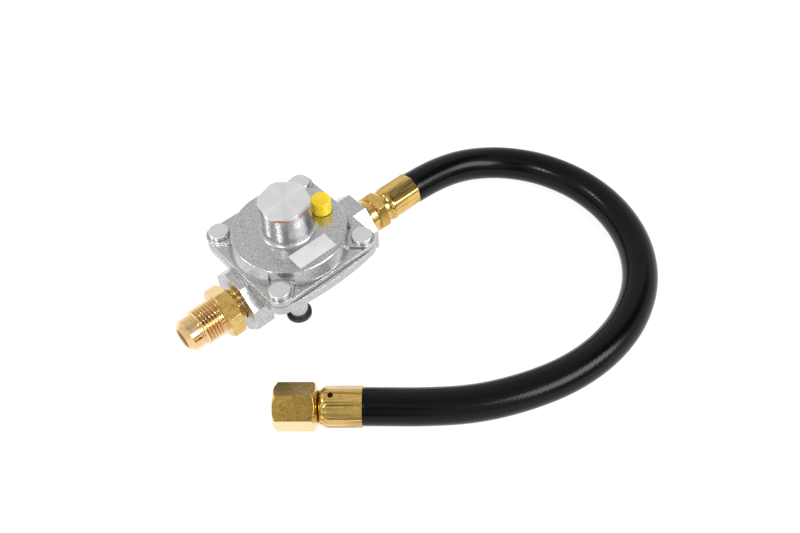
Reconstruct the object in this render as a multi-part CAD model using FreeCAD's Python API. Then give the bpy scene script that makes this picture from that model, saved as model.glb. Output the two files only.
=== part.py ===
"""Low-pressure gas regulator with its hose: cast regulator, brass fittings and a swivel nut.

Origin on the spring tower's axis at the surface the regulator stands on.
+X runs along the gas flow from the inlet to the hose, +Z is up. Millimetres.
"""

import FreeCAD, Part
import math
import os

Vec = FreeCAD.Vector
UP = Vec(0, 0, 1)
FLOW = Vec(1, 0, 0)

# Gas line through the lower body
PORT_FLATS = 31.0          # across the flats of the octagon round each port
PORT_LENGTH = 10.0
INLET_FACE = 35.5          # from the tower's axis to the inlet port's face
OUTLET_FACE = 41.5         # from the tower's axis to the outlet port's face
BARREL_RADIUS = 14.6
PASSAGE_RADIUS = 7.0
TAPER_RADIUS = 8.5         # taper pipe thread, taken as a plain cylinder
TAPER_DEPTH = 12.0
THREAD_CLEARANCE = 0.05

# Valve in the web between the inlet and the outlet
SEAT_CHAMBER_RADIUS = 8.5
SLOT_WIDTH = 8.0           # slots that join the ports to the two valve chambers
SLOT_HEIGHT = 4.5
SLOT_WALL = 2.0            # web left between a valve chamber and the far port
SEAT_DROP = 2.0            # seat's face below the gas line's axis, with the disc under it
WEB_THICK = 4.0
ORIFICE_RADIUS = 3.6
SEAT_BEAD = 0.9            # height of the raised bead that the disc closes on
SEAT_BEAD_FOOT = 1.8       # width of the bead at its foot
SEAT_BEAD_CREST = 0.54
LIFT = 1.5                 # travel of the disc from fully open to its seat
CHAMBER_FLOOR = 3.0

# Clamped joint between the two castings
FLANGE_HALF = 30.8         # half the width of the square flange
FLANGE_BULGE = 2.2         # how far the lower flange bows out at the middle of a side
LOWER_FLANGE_THICK = 4.7
LOWER_FLANGE_RISE = 13.1   # underside of the lower flange above the gas line's axis
DIAPHRAGM_THICK = 0.8
COVER_FLANGE_THICK = 1.9
SCREW_INSET = 6.3          # from the flange's sides to each screw's axis
PAD_RISE = 1.0
PAD_WIDTH = 12.2
PAD_REACH = 7.3            # from the screw to the pad's back wall, towards the tower

# Screws
SCREW_RADIUS = 2.1
SCREW_HEAD_RADIUS = 5.0
SCREW_HEAD_HEIGHT = 2.4
SCREW_CHAMFER = 0.35
SCREW_GRIP = 4.2           # length of screw in the lower flange
SCREW_CLEARANCE = 0.2

# Diaphragm chamber
CHAMBER_WALL = 4.4         # castings' wall round the chamber at the joint
CHAMBER_TAPER = 1.5        # how much narrower the chamber is under the shoulder
BOWL_DEPTH = 4.3           # depth of the lower half of the chamber
BOWL_WALL = 2.8
BOWL_NECK_RADIUS = 13.0
BOWL_NECK_RISE = 5.5       # bottom of the bowl's cone above the gas line's axis
RIB_THICK = 3.0            # ribs from the central boss to the flange's corners
STOP_RADIUS = 2.2          # lugs in the bowl that stop the plates at full opening
STOP_INSET = 3.0           # from the plate's edge to a lug's axis
STOP_COUNT = 3
STOP_GAP = 0.05
CONVOLUTION_WIDTH = 7.5
CONVOLUTION_DEPTH = 2.2
CONVOLUTION_GAP = 0.4      # from the roll's outer edge to the chamber's wall
PLATE_MARGIN = 2.0         # from the plate's edge to the roll
PLATE_THICK = 1.0
PLATE_RIM = 1.4

# Domed cover and spring tower
DOME_INSET = 1.0           # from the flange's side to the dome's foot
DOME_DRAFT = 2.1           # how much narrower the dome is at its shoulder
DOME_HEIGHT = 6.7          # from the flange's top to the dome's shoulder
DOME_CROWN = 0.4           # rise of the dome from its shoulder to the tower
COVER_WALL = 2.4
TOWER_FOOT_RADIUS = 12.3
TOWER_TOP_RADIUS = 11.4
TOWER_HEIGHT = 15.6        # from the dome's crown to the tower's rim
TOWER_FILLET = 2.4
TOWER_BORE = 9.9
TOWER_BORE_FLARE = 2.0     # how much the bore opens towards the chamber
SHOULDER_FILLET = 1.2

# Vent boss and its push-on cap
VENT_TURN = -5.5           # direction of the vent from the tower, degrees from +X
VENT_REACH = 18.8          # from the tower's axis to the vent's
VENT_BOSS_RADIUS = 4.2
VENT_BOSS_HEIGHT = 5.0     # above the dome's crown
VENT_HOLE_RADIUS = 1.2
VENT_CAP_RADIUS = 5.0
VENT_CAP_TAPER = 0.15
VENT_CAP_LENGTH = 7.3
VENT_CAP_TOP = 2.0
VENT_CAP_ROUND = 0.6
VENT_CAP_LIFT = 0.1        # gap between the dome's crown and the cap's mouth
VENT_CAP_CLEARANCE = 0.05
VENT_SPOT_CLEARANCE = 0.3  # room round the cap, sunk into the foot of the tower

# Closure cap, gasket and reversible pin
CAP_FLATS = 22.2
CAP_TURNED_RADIUS = 12.5
CAP_THICK = 2.3
CAP_CHAMFER = 0.45
CAP_FLAT_TURN = -133.0     # direction of one flat, degrees from +X
CAP_RISE = 1.25            # lift of the cap in one turn
CAP_THREADS = 5            # turns that take the cap off
CAP_WALL = 1.5
GASKET_THICK = 0.9
GASKET_RADIUS = 12.0
PIN_CLEARANCE = 0.1
PIN_LENGTH = 7.4
PIN_NECK_RADIUS = 4.2
PIN_FLANGE_THICK = 1.4
PIN_SPIGOT_RADIUS = 5.6
PIN_SPIGOT_LENGTH = 1.6
PIN_SPIGOT_TAPER = 0.6

# Valve train
STEM_RADIUS = 1.6
STEM_NUT_FLATS = 8.0
STEM_NUT_THICK = 3.0
STEM_NUT_GAP = 0.05
STEM_TIP = 1.2             # stem that shows past the nut and past the holder
HOLDER_LIP = 0.4           # height of the disc that stands out of the holder
DISC_RADIUS = 6.0
DISC_THICK = 1.6
HOLDER_RADIUS = 6.6
HOLDER_FLOOR = 1.2

# Main spring
SPRING_WIRE = 1.3
SPRING_MEAN_RADIUS = 6.9
SPRING_TURNS = 5
SPRING_SEAT_GAP = 0.05

# Rating plate stuck on the dome, left bare
RATING_PLATE_X = -0.9
RATING_PLATE_INSET = 3.6   # from the dome's shoulder to the plate's outer edge
RATING_PLATE_LENGTH = 21.2
RATING_PLATE_WIDTH = 9.3
RATING_PLATE_THICK = 0.3

# Foot under the inlet side
FOOT_X = -11.4
FOOT_Y = -15.0
PEG_RADIUS = 4.7
PEG_TAPER = 0.4
PAD_RADIUS = 6.3
PAD_THICK = 1.7
BOSS_RADIUS = 11.5         # flat central boss that the regulator stands on

# Inlet flare fitting, lengths from the port's face outwards
COLLAR_STEP = 0.3          # length over which a taper thread runs out to its collar
INLET_GAP = 3.4
INLET_COLLAR_RADIUS = 8.8
INLET_HEX_FLATS = 23.0
INLET_HEX_LENGTH = 7.4
INLET_NECK_LENGTH = 1.0
INLET_NECK_RADIUS = 8.5
FLARE_THREAD_RADIUS = 9.525
FLARE_THREAD_LENGTH = 11.2
FLARE_RELIEF_LENGTH = 1.1
FLARE_RELIEF_RADIUS = 7.9
FLARE_NOSE_RADIUS = 8.3
FLARE_LAND_LENGTH = 4.6
FLARE_MOUTH_RADIUS = 5.8
FLARE_BORE = 5.0
HEX_CHAMFER = 0.8

# Hose stem that screws into the outlet port
OUTLET_GAP = 7.8
OUTLET_COLLAR_RADIUS = 8.9
STEM_HEX_FLATS = 19.05
STEM_HEX_LENGTH = 5.2
STEM_HEX_TURN = 37.8       # one flat's angle round the gas line, degrees
STEM_NECK_LENGTH = 3.5
STEM_NECK_RADIUS = 7.6
STEM_BORE = 3.4

# Hose and its crimped ferrules
HOSE_RADIUS = 8.65
HOSE_BORE = 4.76
HOSE_CRIMPED_RADIUS = 8.1
FERRULE_LENGTH = 19.5
FERRULE_RADIUS = 9.25
FERRULE_FLATS = 17.9       # across the eight pressed panels
FERRULE_SHOULDER = 4.6     # length of the rounded shoulder at the closed end
FERRULE_MID_PLACE = 1.8    # a point that the shoulder's arc passes through
FERRULE_MID_RADIUS = 8.0
FERRULE_NECK_RADIUS = 6.3
FERRULE_END_WALL = 2.6
FERRULE_FIT = 0.05
CRIMP_START = 5.6          # where the pressed panels begin, from the closed end
NEAR_PANEL_TURN = 31.0     # one panel's angle round the axis, degrees
FAR_PANEL_TURN = 12.5
WITNESS_RADIUS = 1.3
WITNESS_PLACE = 4.2
WITNESS_TURN = 86.0
BARB_ROOT = 4.1
BARB_STEPS = 4
BARB_STEP_LENGTH = 3.6
BARB_FIT = 0.02

# Far stem and swivel nut, lengths from the nut's open face
NUT_FACE_X = -56.3
NUT_FACE_Y = -55.4
NUT_FLOOR_GAP = 0.05       # room for the nut's corners to turn above the surface
NUT_TURN = -42.53          # direction from the nut to the hose, degrees from +X
NUT_FLATS = 19.05
NUT_LENGTH = 18.9
NUT_CHAMFER = 1.3
NUT_BACK_RADIUS = 7.0
NUT_BACK_LENGTH = 2.4
NUT_THREAD_BORE = 7.25     # minor radius of the thread
NUT_THREAD_DEPTH = 8.0
NUT_RELIEF_RADIUS = 7.6
NUT_CORNER_TURN = 35.9     # one corner's angle round the nut's axis, degrees
SWIVEL_CLEARANCE = 0.1
FAR_FERRULE_PLACE = 21.2
FAR_NECK_RADIUS = 5.6
FAR_RING_RADIUS = 6.5
FAR_RING_LENGTH = 1.6
SEAT_HEAD_RADIUS = 7.15    # head of the stem, inside the nut
SEAT_RADIUS = 6.3          # mouth of its hollow 45 degree seat
SEAT_LAND = 2.6

# Control points of the hose, from inside the near ferrule to inside the far one
HOSE_INSET = 2.8           # hose end to the ferrule's closed end
ROUTE = [
    Vec(85.0, 0.0, 15.5),
    Vec(108.0, -2.5, 13.0),
    Vec(125.0, -9.5, 10.2),
    Vec(138.0, -21.0, 8.65),
    Vec(147.0, -37.5, 8.65),
    Vec(151.5, -59.0, 8.65),
    Vec(149.0, -82.0, 8.65),
    Vec(139.0, -104.0, 8.65),
    Vec(122.0, -121.5, 8.65),
    Vec(100.0, -132.0, 8.65),
    Vec(78.0, -135.5, 8.65),
    Vec(56.0, -133.5, 8.65),
    Vec(34.5, -126.5, 8.65),
    Vec(13.0, -115.5, 8.65),
    Vec(-6.0, -101.5, 10.4),
]
LAST_RUN = 5.5             # last corner's distance in front of the far ferrule's mouth
ARC_SHARE = 0.45           # share of the shorter run that an arc may use

# Cutting
PAST = 1.0                 # how far a cut or a hidden joint runs past a face
CHAMFER_SLOPE = math.tan(math.radians(60))
HALF_HEX = 30.0            # from a hexagon's flat to its corner, degrees

# Heights and places that follow from the sizes above
AXIS_Z = PORT_FLATS / 2
SEAT_HEIGHT = AXIS_Z - SEAT_DROP
LOWER_FLANGE_BOTTOM = AXIS_Z + LOWER_FLANGE_RISE
BOWL_NECK_HEIGHT = AXIS_Z + BOWL_NECK_RISE
JOINT_Z = LOWER_FLANGE_BOTTOM + LOWER_FLANGE_THICK
COVER_Z = JOINT_Z + DIAPHRAGM_THICK
FLANGE_TOP = COVER_Z + COVER_FLANGE_THICK
PAD_TOP = FLANGE_TOP + PAD_RISE
SHOULDER_Z = FLANGE_TOP + DOME_HEIGHT
CROWN_Z = SHOULDER_Z + DOME_CROWN
TOWER_TOP = CROWN_Z + TOWER_HEIGHT
GASKET_TOP = TOWER_TOP + GASKET_THICK
CAP_TOP = GASKET_TOP + CAP_THICK
HALF_PITCH = FLANGE_HALF - SCREW_INSET
DOME_FOOT_RADIUS = FLANGE_HALF - DOME_INSET
DOME_TOP_RADIUS = DOME_FOOT_RADIUS - DOME_DRAFT
CHAMBER_RADIUS = DOME_FOOT_RADIUS - CHAMBER_WALL
CONVOLUTION_OUTER = CHAMBER_RADIUS - CONVOLUTION_GAP
CONVOLUTION_INNER = CONVOLUTION_OUTER - CONVOLUTION_WIDTH
PLATE_RADIUS = CONVOLUTION_INNER - PLATE_MARGIN
VENT_X = VENT_REACH * math.cos(math.radians(VENT_TURN))
VENT_Y = VENT_REACH * math.sin(math.radians(VENT_TURN))
RATING_PLATE_Y = RATING_PLATE_INSET + RATING_PLATE_WIDTH / 2 - DOME_TOP_RADIUS
CAP_THREAD_LENGTH = CAP_RISE * CAP_THREADS
FERRULE_X = OUTLET_FACE + OUTLET_GAP + STEM_HEX_LENGTH + STEM_NECK_LENGTH
DISC_TOP = SEAT_HEIGHT - SEAT_BEAD - LIFT
PLATE_TOP = COVER_Z + PLATE_THICK
SPRING_TOP = GASKET_TOP - PIN_LENGTH
HOLDER_BOTTOM = DISC_TOP - DISC_THICK - HOLDER_FLOOR
NUT_REACH = NUT_FLATS / 2 / math.cos(math.radians(HALF_HEX))
NUT_FACE = Vec(NUT_FACE_X, NUT_FACE_Y, NUT_REACH + NUT_FLOOR_GAP)


def at(x, y, z, turn=0.0, axis=UP):
    """Placement at a point, turned about an axis by degrees."""
    return FreeCAD.Placement(Vec(x, y, z), FreeCAD.Rotation(axis, turn))


def disc(radius, bottom, top, x=0.0, y=0.0):
    """Upright cylinder between two heights."""
    return Part.makeCylinder(radius, top - bottom, Vec(x, y, bottom), UP)


def rod(radius, start, end, y=0.0, z=0.0):
    """Cylinder along the gas line between two places."""
    return Part.makeCylinder(radius, end - start, Vec(start, y, z), FLOW)


def spun(points, axis):
    """Solid of revolution of an outline; points are (along the axis, radius).

    A point of four numbers ends an arc: two for a point on it, two for its end.
    """
    def place(s, r):
        return Vec(r, 0, s) if axis is UP else Vec(s, 0, r)

    edges = []
    last = place(*points[0])
    for point in points[1:] + points[:1]:
        end = place(*point[-2:])
        if len(point) == 4:
            edges.append(Part.Arc(last, place(*point[:2]), end).toShape())
        else:
            edges.append(Part.LineSegment(last, end).toShape())
        last = end
    return Part.Face(Part.Wire(edges)).revolve(Vec(0, 0, 0), axis, 360)


def turned(points):
    """Part turned about +X from its outer outline, solid to the axis."""
    closed = [(points[0][0], 0.0)] + points + [(points[-1][-2], 0.0)]
    return spun(closed, FLOW)


def prism(sides, flats, start, end, first_flat=0.0):
    """Regular prism along +X; first_flat is a flat's angle from +Y towards +Z."""
    reach = flats / 2 / math.cos(math.pi / sides)
    corners = []
    for i in range(sides):
        a = math.radians(first_flat + (i + 0.5) * 360 / sides)
        corners.append(Vec(start, reach * math.cos(a), reach * math.sin(a)))
    face = Part.Face(Part.makePolygon(corners + corners[:1]))
    return face.extrude(Vec(end - start, 0, 0))


def chamfered_prism(sides, flats, start, end, chamfer, first_flat=0.0):
    """Hexagonal or octagonal prism with both ends turned to a chamfer."""
    reach = flats / 2 / math.cos(math.pi / sides)
    rise = chamfer * CHAMFER_SLOPE
    barrel = turned([
        (start, reach - rise),
        (start + chamfer, reach),
        (end - chamfer, reach),
        (end, reach - rise),
    ])
    return prism(sides, flats, start, end, first_flat).common(barrel)


def rounded_square(bulge, bottom, top):
    """Square plate with corners round the screws; its +Y and -Y sides may bow out."""
    a = HALF_PITCH
    h = FLANGE_HALF
    d = a + SCREW_INSET * math.sqrt(0.5)
    if bulge:
        side = Part.Arc(Vec(a, h, bottom), Vec(0, h + bulge, bottom), Vec(-a, h, bottom))
    else:
        side = Part.LineSegment(Vec(a, h, bottom), Vec(-a, h, bottom))
    half = [
        Part.LineSegment(Vec(h, -a, bottom), Vec(h, a, bottom)),
        Part.Arc(Vec(h, a, bottom), Vec(d, d, bottom), Vec(a, h, bottom)),
        side,
        Part.Arc(Vec(-a, h, bottom), Vec(-d, d, bottom), Vec(-h, a, bottom)),
    ]
    edges = []
    for turn in (0, 180):
        for curve in half:
            edge = curve.toShape()
            edge.rotate(Vec(0, 0, 0), UP, turn)
            edges.append(edge)
    return Part.Face(Part.Wire(edges)).extrude(Vec(0, 0, top - bottom))


def arc_round(corner, enter, leave):
    """Arc tangent to both sides of a corner, from one point to the other, with its radius."""
    u = (enter - corner).normalize()
    v = (leave - corner).normalize()
    half_turn = (math.pi - u.getAngle(v)) / 2
    radius = corner.distanceToPoint(enter) / math.tan(half_turn)
    middle = (u + v).normalize()
    top = corner + middle * (radius / math.cos(half_turn) - radius)
    return Part.Arc(enter, top, leave), radius


def rounded(before, corner, after, radius):
    """Outline points of a corner rounded to a radius: the arc's start, middle and end."""
    p = Vec(corner[0], corner[1], 0)
    u = (Vec(before[0], before[1], 0) - p).normalize()
    v = (Vec(after[0], after[1], 0) - p).normalize()
    half = u.getAngle(v) / 2
    reach = radius / math.tan(half)
    enter = p + u * reach
    leave = p + v * reach
    middle = p + (u + v).normalize() * (radius / math.sin(half) - radius)
    return [(enter.x, enter.y), (middle.x, middle.y, leave.x, leave.y)]


def least_gap(path, thickness, skip):
    """Least gap of a round wire to itself, between points further apart than skip."""
    points = path.discretize(Number=round(path.Length))
    step = path.Length / (len(points) - 1)
    apart = round(skip / step)
    gaps = []
    for i, point in enumerate(points):
        for other in points[i + apart:]:
            gaps.append(point.distanceToPoint(other) - thickness)
    return min(gaps)


def at_screws(shape):
    """Copies of a shape, made at the origin, on the four screw axes."""
    copies = []
    for sx in (-1, 1):
        for sy in (-1, 1):
            copy = shape.copy()
            copy.translate(Vec(sx * HALF_PITCH, sy * HALF_PITCH, 0))
            copies.append(copy)
    return copies


def lower_body():
    """Casting with the gas line, the valve seat and the lower diaphragm bowl."""
    body = rounded_square(FLANGE_BULGE, LOWER_FLANGE_BOTTOM, JOINT_Z)
    bowl = spun([
        (JOINT_Z - PAST, 0),
        (JOINT_Z - PAST, CHAMBER_RADIUS + BOWL_WALL),
        (LOWER_FLANGE_BOTTOM - PAST, CHAMBER_RADIUS + BOWL_WALL),
        (BOWL_NECK_HEIGHT, BOWL_NECK_RADIUS),
        (BOWL_NECK_HEIGHT, 0),
    ], UP)
    line = rod(BARREL_RADIUS, -INLET_FACE + PAST, OUTLET_FACE - PAST, z=AXIS_Z)
    for start, end in ((-INLET_FACE, PORT_LENGTH - INLET_FACE),
                       (OUTLET_FACE - PORT_LENGTH, OUTLET_FACE)):
        port = prism(8, PORT_FLATS, start, end)
        port.translate(Vec(0, 0, AXIS_Z))
        line = line.fuse(port)
    boss = disc(BOSS_RADIUS, 0, AXIS_Z)
    peg = Part.makeCone(PEG_RADIUS, PEG_RADIUS + PEG_TAPER, LOWER_FLANGE_BOTTOM - PAD_THICK,
                        Vec(FOOT_X, FOOT_Y, PAD_THICK), UP)
    body = body.fuse([bowl, line, boss, peg])
    for turn in (45, 135, 225, 315):
        rib = Part.makeBox(FLANGE_HALF, RIB_THICK, JOINT_Z - PAST - AXIS_Z,
                           Vec(0, -RIB_THICK / 2, AXIS_Z))
        rib = rib.common(spun([
            (AXIS_Z, 0),
            (AXIS_Z, BOSS_RADIUS),
            (LOWER_FLANGE_BOTTOM, FLANGE_HALF),
            (LOWER_FLANGE_BOTTOM + PAST, FLANGE_HALF),
            (LOWER_FLANGE_BOTTOM + PAST, 0),
        ], UP))
        rib.Placement = at(0, 0, 0, turn)
        body = body.fuse(rib)
    body = body.cut(gas_passages())
    lug = disc(STOP_RADIUS, JOINT_Z - BOWL_DEPTH - PAST, JOINT_Z - PLATE_THICK - STOP_GAP,
               0, PLATE_RADIUS - STOP_INSET)
    for i in range(STOP_COUNT):
        lug.Placement = at(0, 0, 0, i * 360 / STOP_COUNT)
        body = body.fuse(lug)
    hole = disc(SCREW_RADIUS + THREAD_CLEARANCE, LOWER_FLANGE_BOTTOM - PAST, JOINT_Z + PAST)
    body = body.cut(at_screws(hole))
    return body.removeSplitter()


def gas_passages():
    """Hollow that the gas takes: port, low chamber, seat, high chamber, port."""
    low_top = SEAT_HEIGHT
    high_floor = SEAT_HEIGHT + WEB_THICK
    reach = SEAT_CHAMBER_RADIUS + SLOT_WALL
    bowl = disc(CHAMBER_RADIUS, JOINT_Z - BOWL_DEPTH, JOINT_Z + PAST)
    high = disc(SEAT_CHAMBER_RADIUS, high_floor, JOINT_Z)
    low = disc(SEAT_CHAMBER_RADIUS, CHAMBER_FLOOR, low_top)
    low = low.cut(spun([
        (low_top, ORIFICE_RADIUS),
        (low_top, ORIFICE_RADIUS + SEAT_BEAD_FOOT),
        (low_top - SEAT_BEAD, ORIFICE_RADIUS + SEAT_BEAD_CREST),
        (low_top - SEAT_BEAD, ORIFICE_RADIUS),
    ], UP))
    orifice = disc(ORIFICE_RADIUS, low_top - SEAT_BEAD, high_floor)
    inlet = rod(PASSAGE_RADIUS, -INLET_FACE - PAST, -reach, z=AXIS_Z)
    outlet = rod(PASSAGE_RADIUS, reach, OUTLET_FACE + PAST, z=AXIS_Z)
    inlet_slot = Part.makeBox(reach + PAST, SLOT_WIDTH, SLOT_HEIGHT,
                              Vec(-reach - PAST, -SLOT_WIDTH / 2, low_top - SLOT_HEIGHT))
    outlet_slot = Part.makeBox(reach + PAST, SLOT_WIDTH, SLOT_HEIGHT,
                               Vec(0, -SLOT_WIDTH / 2, high_floor))
    thread = TAPER_RADIUS + THREAD_CLEARANCE
    inlet_thread = rod(thread, -INLET_FACE - PAST, -INLET_FACE + TAPER_DEPTH, z=AXIS_Z)
    outlet_thread = rod(thread, OUTLET_FACE - TAPER_DEPTH, OUTLET_FACE + PAST, z=AXIS_Z)
    return bowl.fuse([high, low, orifice, inlet, outlet, inlet_slot, outlet_slot,
                      inlet_thread, outlet_thread])


def dome_outline():
    """Outer outline of the cover from its axis, as (height, radius), with its fillets."""
    foot = (FLANGE_TOP, DOME_FOOT_RADIUS)
    shoulder = (SHOULDER_Z, DOME_TOP_RADIUS)
    crown = (CROWN_Z, TOWER_FOOT_RADIUS)
    rim = (TOWER_TOP, TOWER_TOP_RADIUS)
    return [
        (COVER_Z, 0),
        (COVER_Z, DOME_FOOT_RADIUS),
        foot,
    ] + rounded(foot, shoulder, crown, SHOULDER_FILLET) + rounded(
        shoulder, crown, rim, TOWER_FILLET) + [
        rim,
        (TOWER_TOP, 0),
    ]


def upper_cover():
    """Domed casting with the spring tower, the vent boss and four screw pads."""
    dome = spun(dome_outline(), UP)
    pad_back = math.hypot(HALF_PITCH, HALF_PITCH) - PAD_REACH
    pads = []
    for turn in (45, 135, 225, 315):
        notch = Part.makeBox(FLANGE_HALF, PAD_WIDTH, TOWER_HEIGHT,
                             Vec(pad_back, -PAD_WIDTH / 2, PAD_TOP))
        notch.Placement = at(0, 0, 0, turn)
        dome = dome.cut(notch)
        pad = Part.makeBox(FLANGE_HALF, PAD_WIDTH, PAD_TOP - COVER_Z,
                           Vec(pad_back, -PAD_WIDTH / 2, COVER_Z))
        pad.Placement = at(0, 0, 0, turn)
        pads.append(pad.common(rounded_square(0, COVER_Z, PAD_TOP)))
    boss_top = CROWN_Z + VENT_BOSS_HEIGHT
    spot = VENT_CAP_RADIUS + VENT_SPOT_CLEARANCE
    dome = dome.cut(disc(spot, CROWN_Z, boss_top + TOWER_HEIGHT, VENT_X, VENT_Y))
    boss = disc(VENT_BOSS_RADIUS, SHOULDER_Z - COVER_WALL, boss_top, VENT_X, VENT_Y)
    cover = rounded_square(0, COVER_Z, FLANGE_TOP).fuse([dome, boss] + pads)
    cover = cover.cut(spun([
        (COVER_Z - PAST, 0),
        (COVER_Z - PAST, CHAMBER_RADIUS),
        (PAD_TOP, CHAMBER_RADIUS),
        (SHOULDER_Z - COVER_WALL, CHAMBER_RADIUS - CHAMBER_TAPER),
        (CROWN_Z - COVER_WALL, TOWER_BORE + TOWER_BORE_FLARE),
        (CROWN_Z + COVER_WALL, TOWER_BORE),
        (TOWER_TOP + PAST, TOWER_BORE),
        (TOWER_TOP + PAST, 0),
    ], UP))
    vent = disc(VENT_HOLE_RADIUS, FLANGE_TOP, boss_top + PAST, VENT_X, VENT_Y)
    holes = at_screws(disc(SCREW_RADIUS + SCREW_CLEARANCE, COVER_Z - PAST, PAD_TOP + PAST))
    return cover.cut([vent] + holes).removeSplitter()


def diaphragm():
    """Rubber sheet with a rolled convolution, clamped between the castings."""
    sheet = rounded_square(0, JOINT_Z, COVER_Z)
    outer = CONVOLUTION_OUTER
    inner = CONVOLUTION_INNER
    middle = (inner + outer) / 2
    wall = DIAPHRAGM_THICK
    below = spun([
        (JOINT_Z, inner),
        (JOINT_Z - CONVOLUTION_DEPTH, middle, JOINT_Z, outer),
    ], UP)
    above = spun([
        (COVER_Z, inner + wall),
        (COVER_Z - CONVOLUTION_DEPTH, middle, COVER_Z, outer - wall),
    ], UP)
    sheet = sheet.fuse(below).cut(above)
    holes = at_screws(disc(SCREW_RADIUS + SCREW_CLEARANCE, JOINT_Z - PAST, COVER_Z + PAST))
    centre = disc(STEM_RADIUS + THREAD_CLEARANCE, JOINT_Z - PAST, COVER_Z + PAST)
    return sheet.cut(holes + [centre]).removeSplitter()


def stem_plate(bottom, rim):
    """Round metal plate on the stem; the upper one has a rim that keeps the spring."""
    hole = disc(STEM_RADIUS + THREAD_CLEARANCE, bottom - PAST, bottom + PLATE_THICK + PAST)
    plate = disc(PLATE_RADIUS, bottom, bottom + PLATE_THICK).cut(hole)
    if rim:
        outer = disc(PLATE_RADIUS, bottom, bottom + PLATE_THICK + PLATE_RIM)
        plate = plate.fuse(outer.cut(disc(PLATE_RADIUS - PLATE_THICK, bottom, TOWER_TOP)))
    return plate.removeSplitter()


def valve_stem():
    """Rod that joins the diaphragm to the valve disc."""
    return disc(STEM_RADIUS, HOLDER_BOTTOM - STEM_TIP, PLATE_TOP + STEM_NUT_THICK + STEM_TIP)


def stem_nut():
    """Hexagon nut that clamps the plates on the diaphragm."""
    nut = chamfered_prism(6, STEM_NUT_FLATS, 0, STEM_NUT_THICK, SCREW_CHAMFER)
    nut = nut.cut(rod(STEM_RADIUS + THREAD_CLEARANCE, -PAST, STEM_NUT_THICK + PAST))
    nut.Placement = at(0, 0, PLATE_TOP + STEM_NUT_GAP, -90, Vec(0, 1, 0))
    return nut


def disc_holder():
    """Brass cup that carries the rubber disc below the seat."""
    cup = disc(HOLDER_RADIUS, HOLDER_BOTTOM, DISC_TOP - HOLDER_LIP)
    cup = cup.cut(disc(DISC_RADIUS, DISC_TOP - DISC_THICK, DISC_TOP))
    return cup.cut(disc(STEM_RADIUS, HOLDER_BOTTOM - PAST, DISC_TOP))


def valve_disc():
    """Rubber disc that closes on the seat."""
    seal = disc(DISC_RADIUS, DISC_TOP - DISC_THICK, DISC_TOP)
    return seal.cut(disc(STEM_RADIUS, HOLDER_BOTTOM, DISC_TOP + PAST))


def quarter_turn(start, ahead, end, onward):
    """Two tangent arcs that follow a quarter turn of a coil, from its ends and directions."""
    span = end - start
    both = ahead + onward
    a = 2 * (ahead.dot(onward) - 1)
    b = -2 * span.dot(both)
    reach = (-b - math.sqrt(b * b - 4 * a * span.dot(span))) / (2 * a)
    if reach < 0:
        reach = (-b + math.sqrt(b * b - 4 * a * span.dot(span))) / (2 * a)
    first = start + ahead * reach
    second = end - onward * reach
    meet = (first + second) * 0.5
    arcs = [arc_round(first, start, meet)[0], arc_round(second, meet, end)[0]]
    return [arc.toShape() for arc in arcs]


def main_spring():
    """Coil that loads the diaphragm against the pin."""
    bottom = PLATE_TOP + SPRING_SEAT_GAP + SPRING_WIRE / 2
    top = SPRING_TOP - SPRING_SEAT_GAP - SPRING_WIRE / 2
    radius = SPRING_MEAN_RADIUS
    pitch = (top - bottom) / SPRING_TURNS
    around = 2 * math.pi * radius

    def place(quarter):
        a = quarter * math.pi / 2
        return Vec(radius * math.cos(a), radius * math.sin(a), bottom + pitch * quarter / 4)

    def heading(quarter):
        a = quarter * math.pi / 2
        return Vec(-around * math.sin(a), around * math.cos(a), pitch).normalize()

    edges = []
    for i in range(4 * SPRING_TURNS):
        edges += quarter_turn(place(i), heading(i), place(i + 1), heading(i + 1))
    path = Part.Wire(edges)
    section = Part.Wire(Part.Circle(place(0), heading(0), SPRING_WIRE / 2).toShape())
    print("spring: least gap between turns %.2f" % least_gap(path, SPRING_WIRE, around / 2))
    return path.makePipeShell([section], True, False)


def reversible_pin():
    """Plastic pin under the cap; turned over, it loads the spring more."""
    top = GASKET_TOP - PIN_CLEARANCE
    flange = SPRING_TOP
    radius = TOWER_BORE - THREAD_CLEARANCE - CAP_WALL - PIN_CLEARANCE
    return spun([
        (top, 0),
        (top, radius),
        (top - PIN_FLANGE_THICK, radius),
        (top - PIN_FLANGE_THICK, PIN_NECK_RADIUS),
        (flange + PIN_FLANGE_THICK, PIN_NECK_RADIUS),
        (flange + PIN_FLANGE_THICK, radius),
        (flange, radius),
        (flange, PIN_SPIGOT_RADIUS),
        (flange - PIN_SPIGOT_LENGTH, PIN_SPIGOT_RADIUS - PIN_SPIGOT_TAPER),
        (flange - PIN_SPIGOT_LENGTH, 0),
    ], UP)


def top_cap():
    """Hexagon closure cap with a hollow threaded plug below it."""
    head = prism(6, CAP_FLATS, 0, CAP_THICK)
    head = head.common(turned([
        (0, CAP_TURNED_RADIUS),
        (CAP_THICK - CAP_CHAMFER, CAP_TURNED_RADIUS),
        (CAP_THICK, CAP_TURNED_RADIUS - CAP_CHAMFER),
    ]))
    head.Placement = at(0, 0, GASKET_TOP, -90, Vec(0, 1, 0))
    head.rotate(Vec(0, 0, 0), UP, CAP_FLAT_TURN - 3 * HALF_HEX)
    thread = TOWER_BORE - THREAD_CLEARANCE
    plug = disc(thread, TOWER_TOP - CAP_THREAD_LENGTH, GASKET_TOP)
    plug = plug.cut(disc(thread - CAP_WALL, 0, GASKET_TOP))
    return head.fuse(plug).removeSplitter()


def cap_gasket():
    """Fibre ring between the cap and the tower."""
    return disc(GASKET_RADIUS, TOWER_TOP, GASKET_TOP).cut(disc(TOWER_BORE, 0, CAP_TOP))


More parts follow.
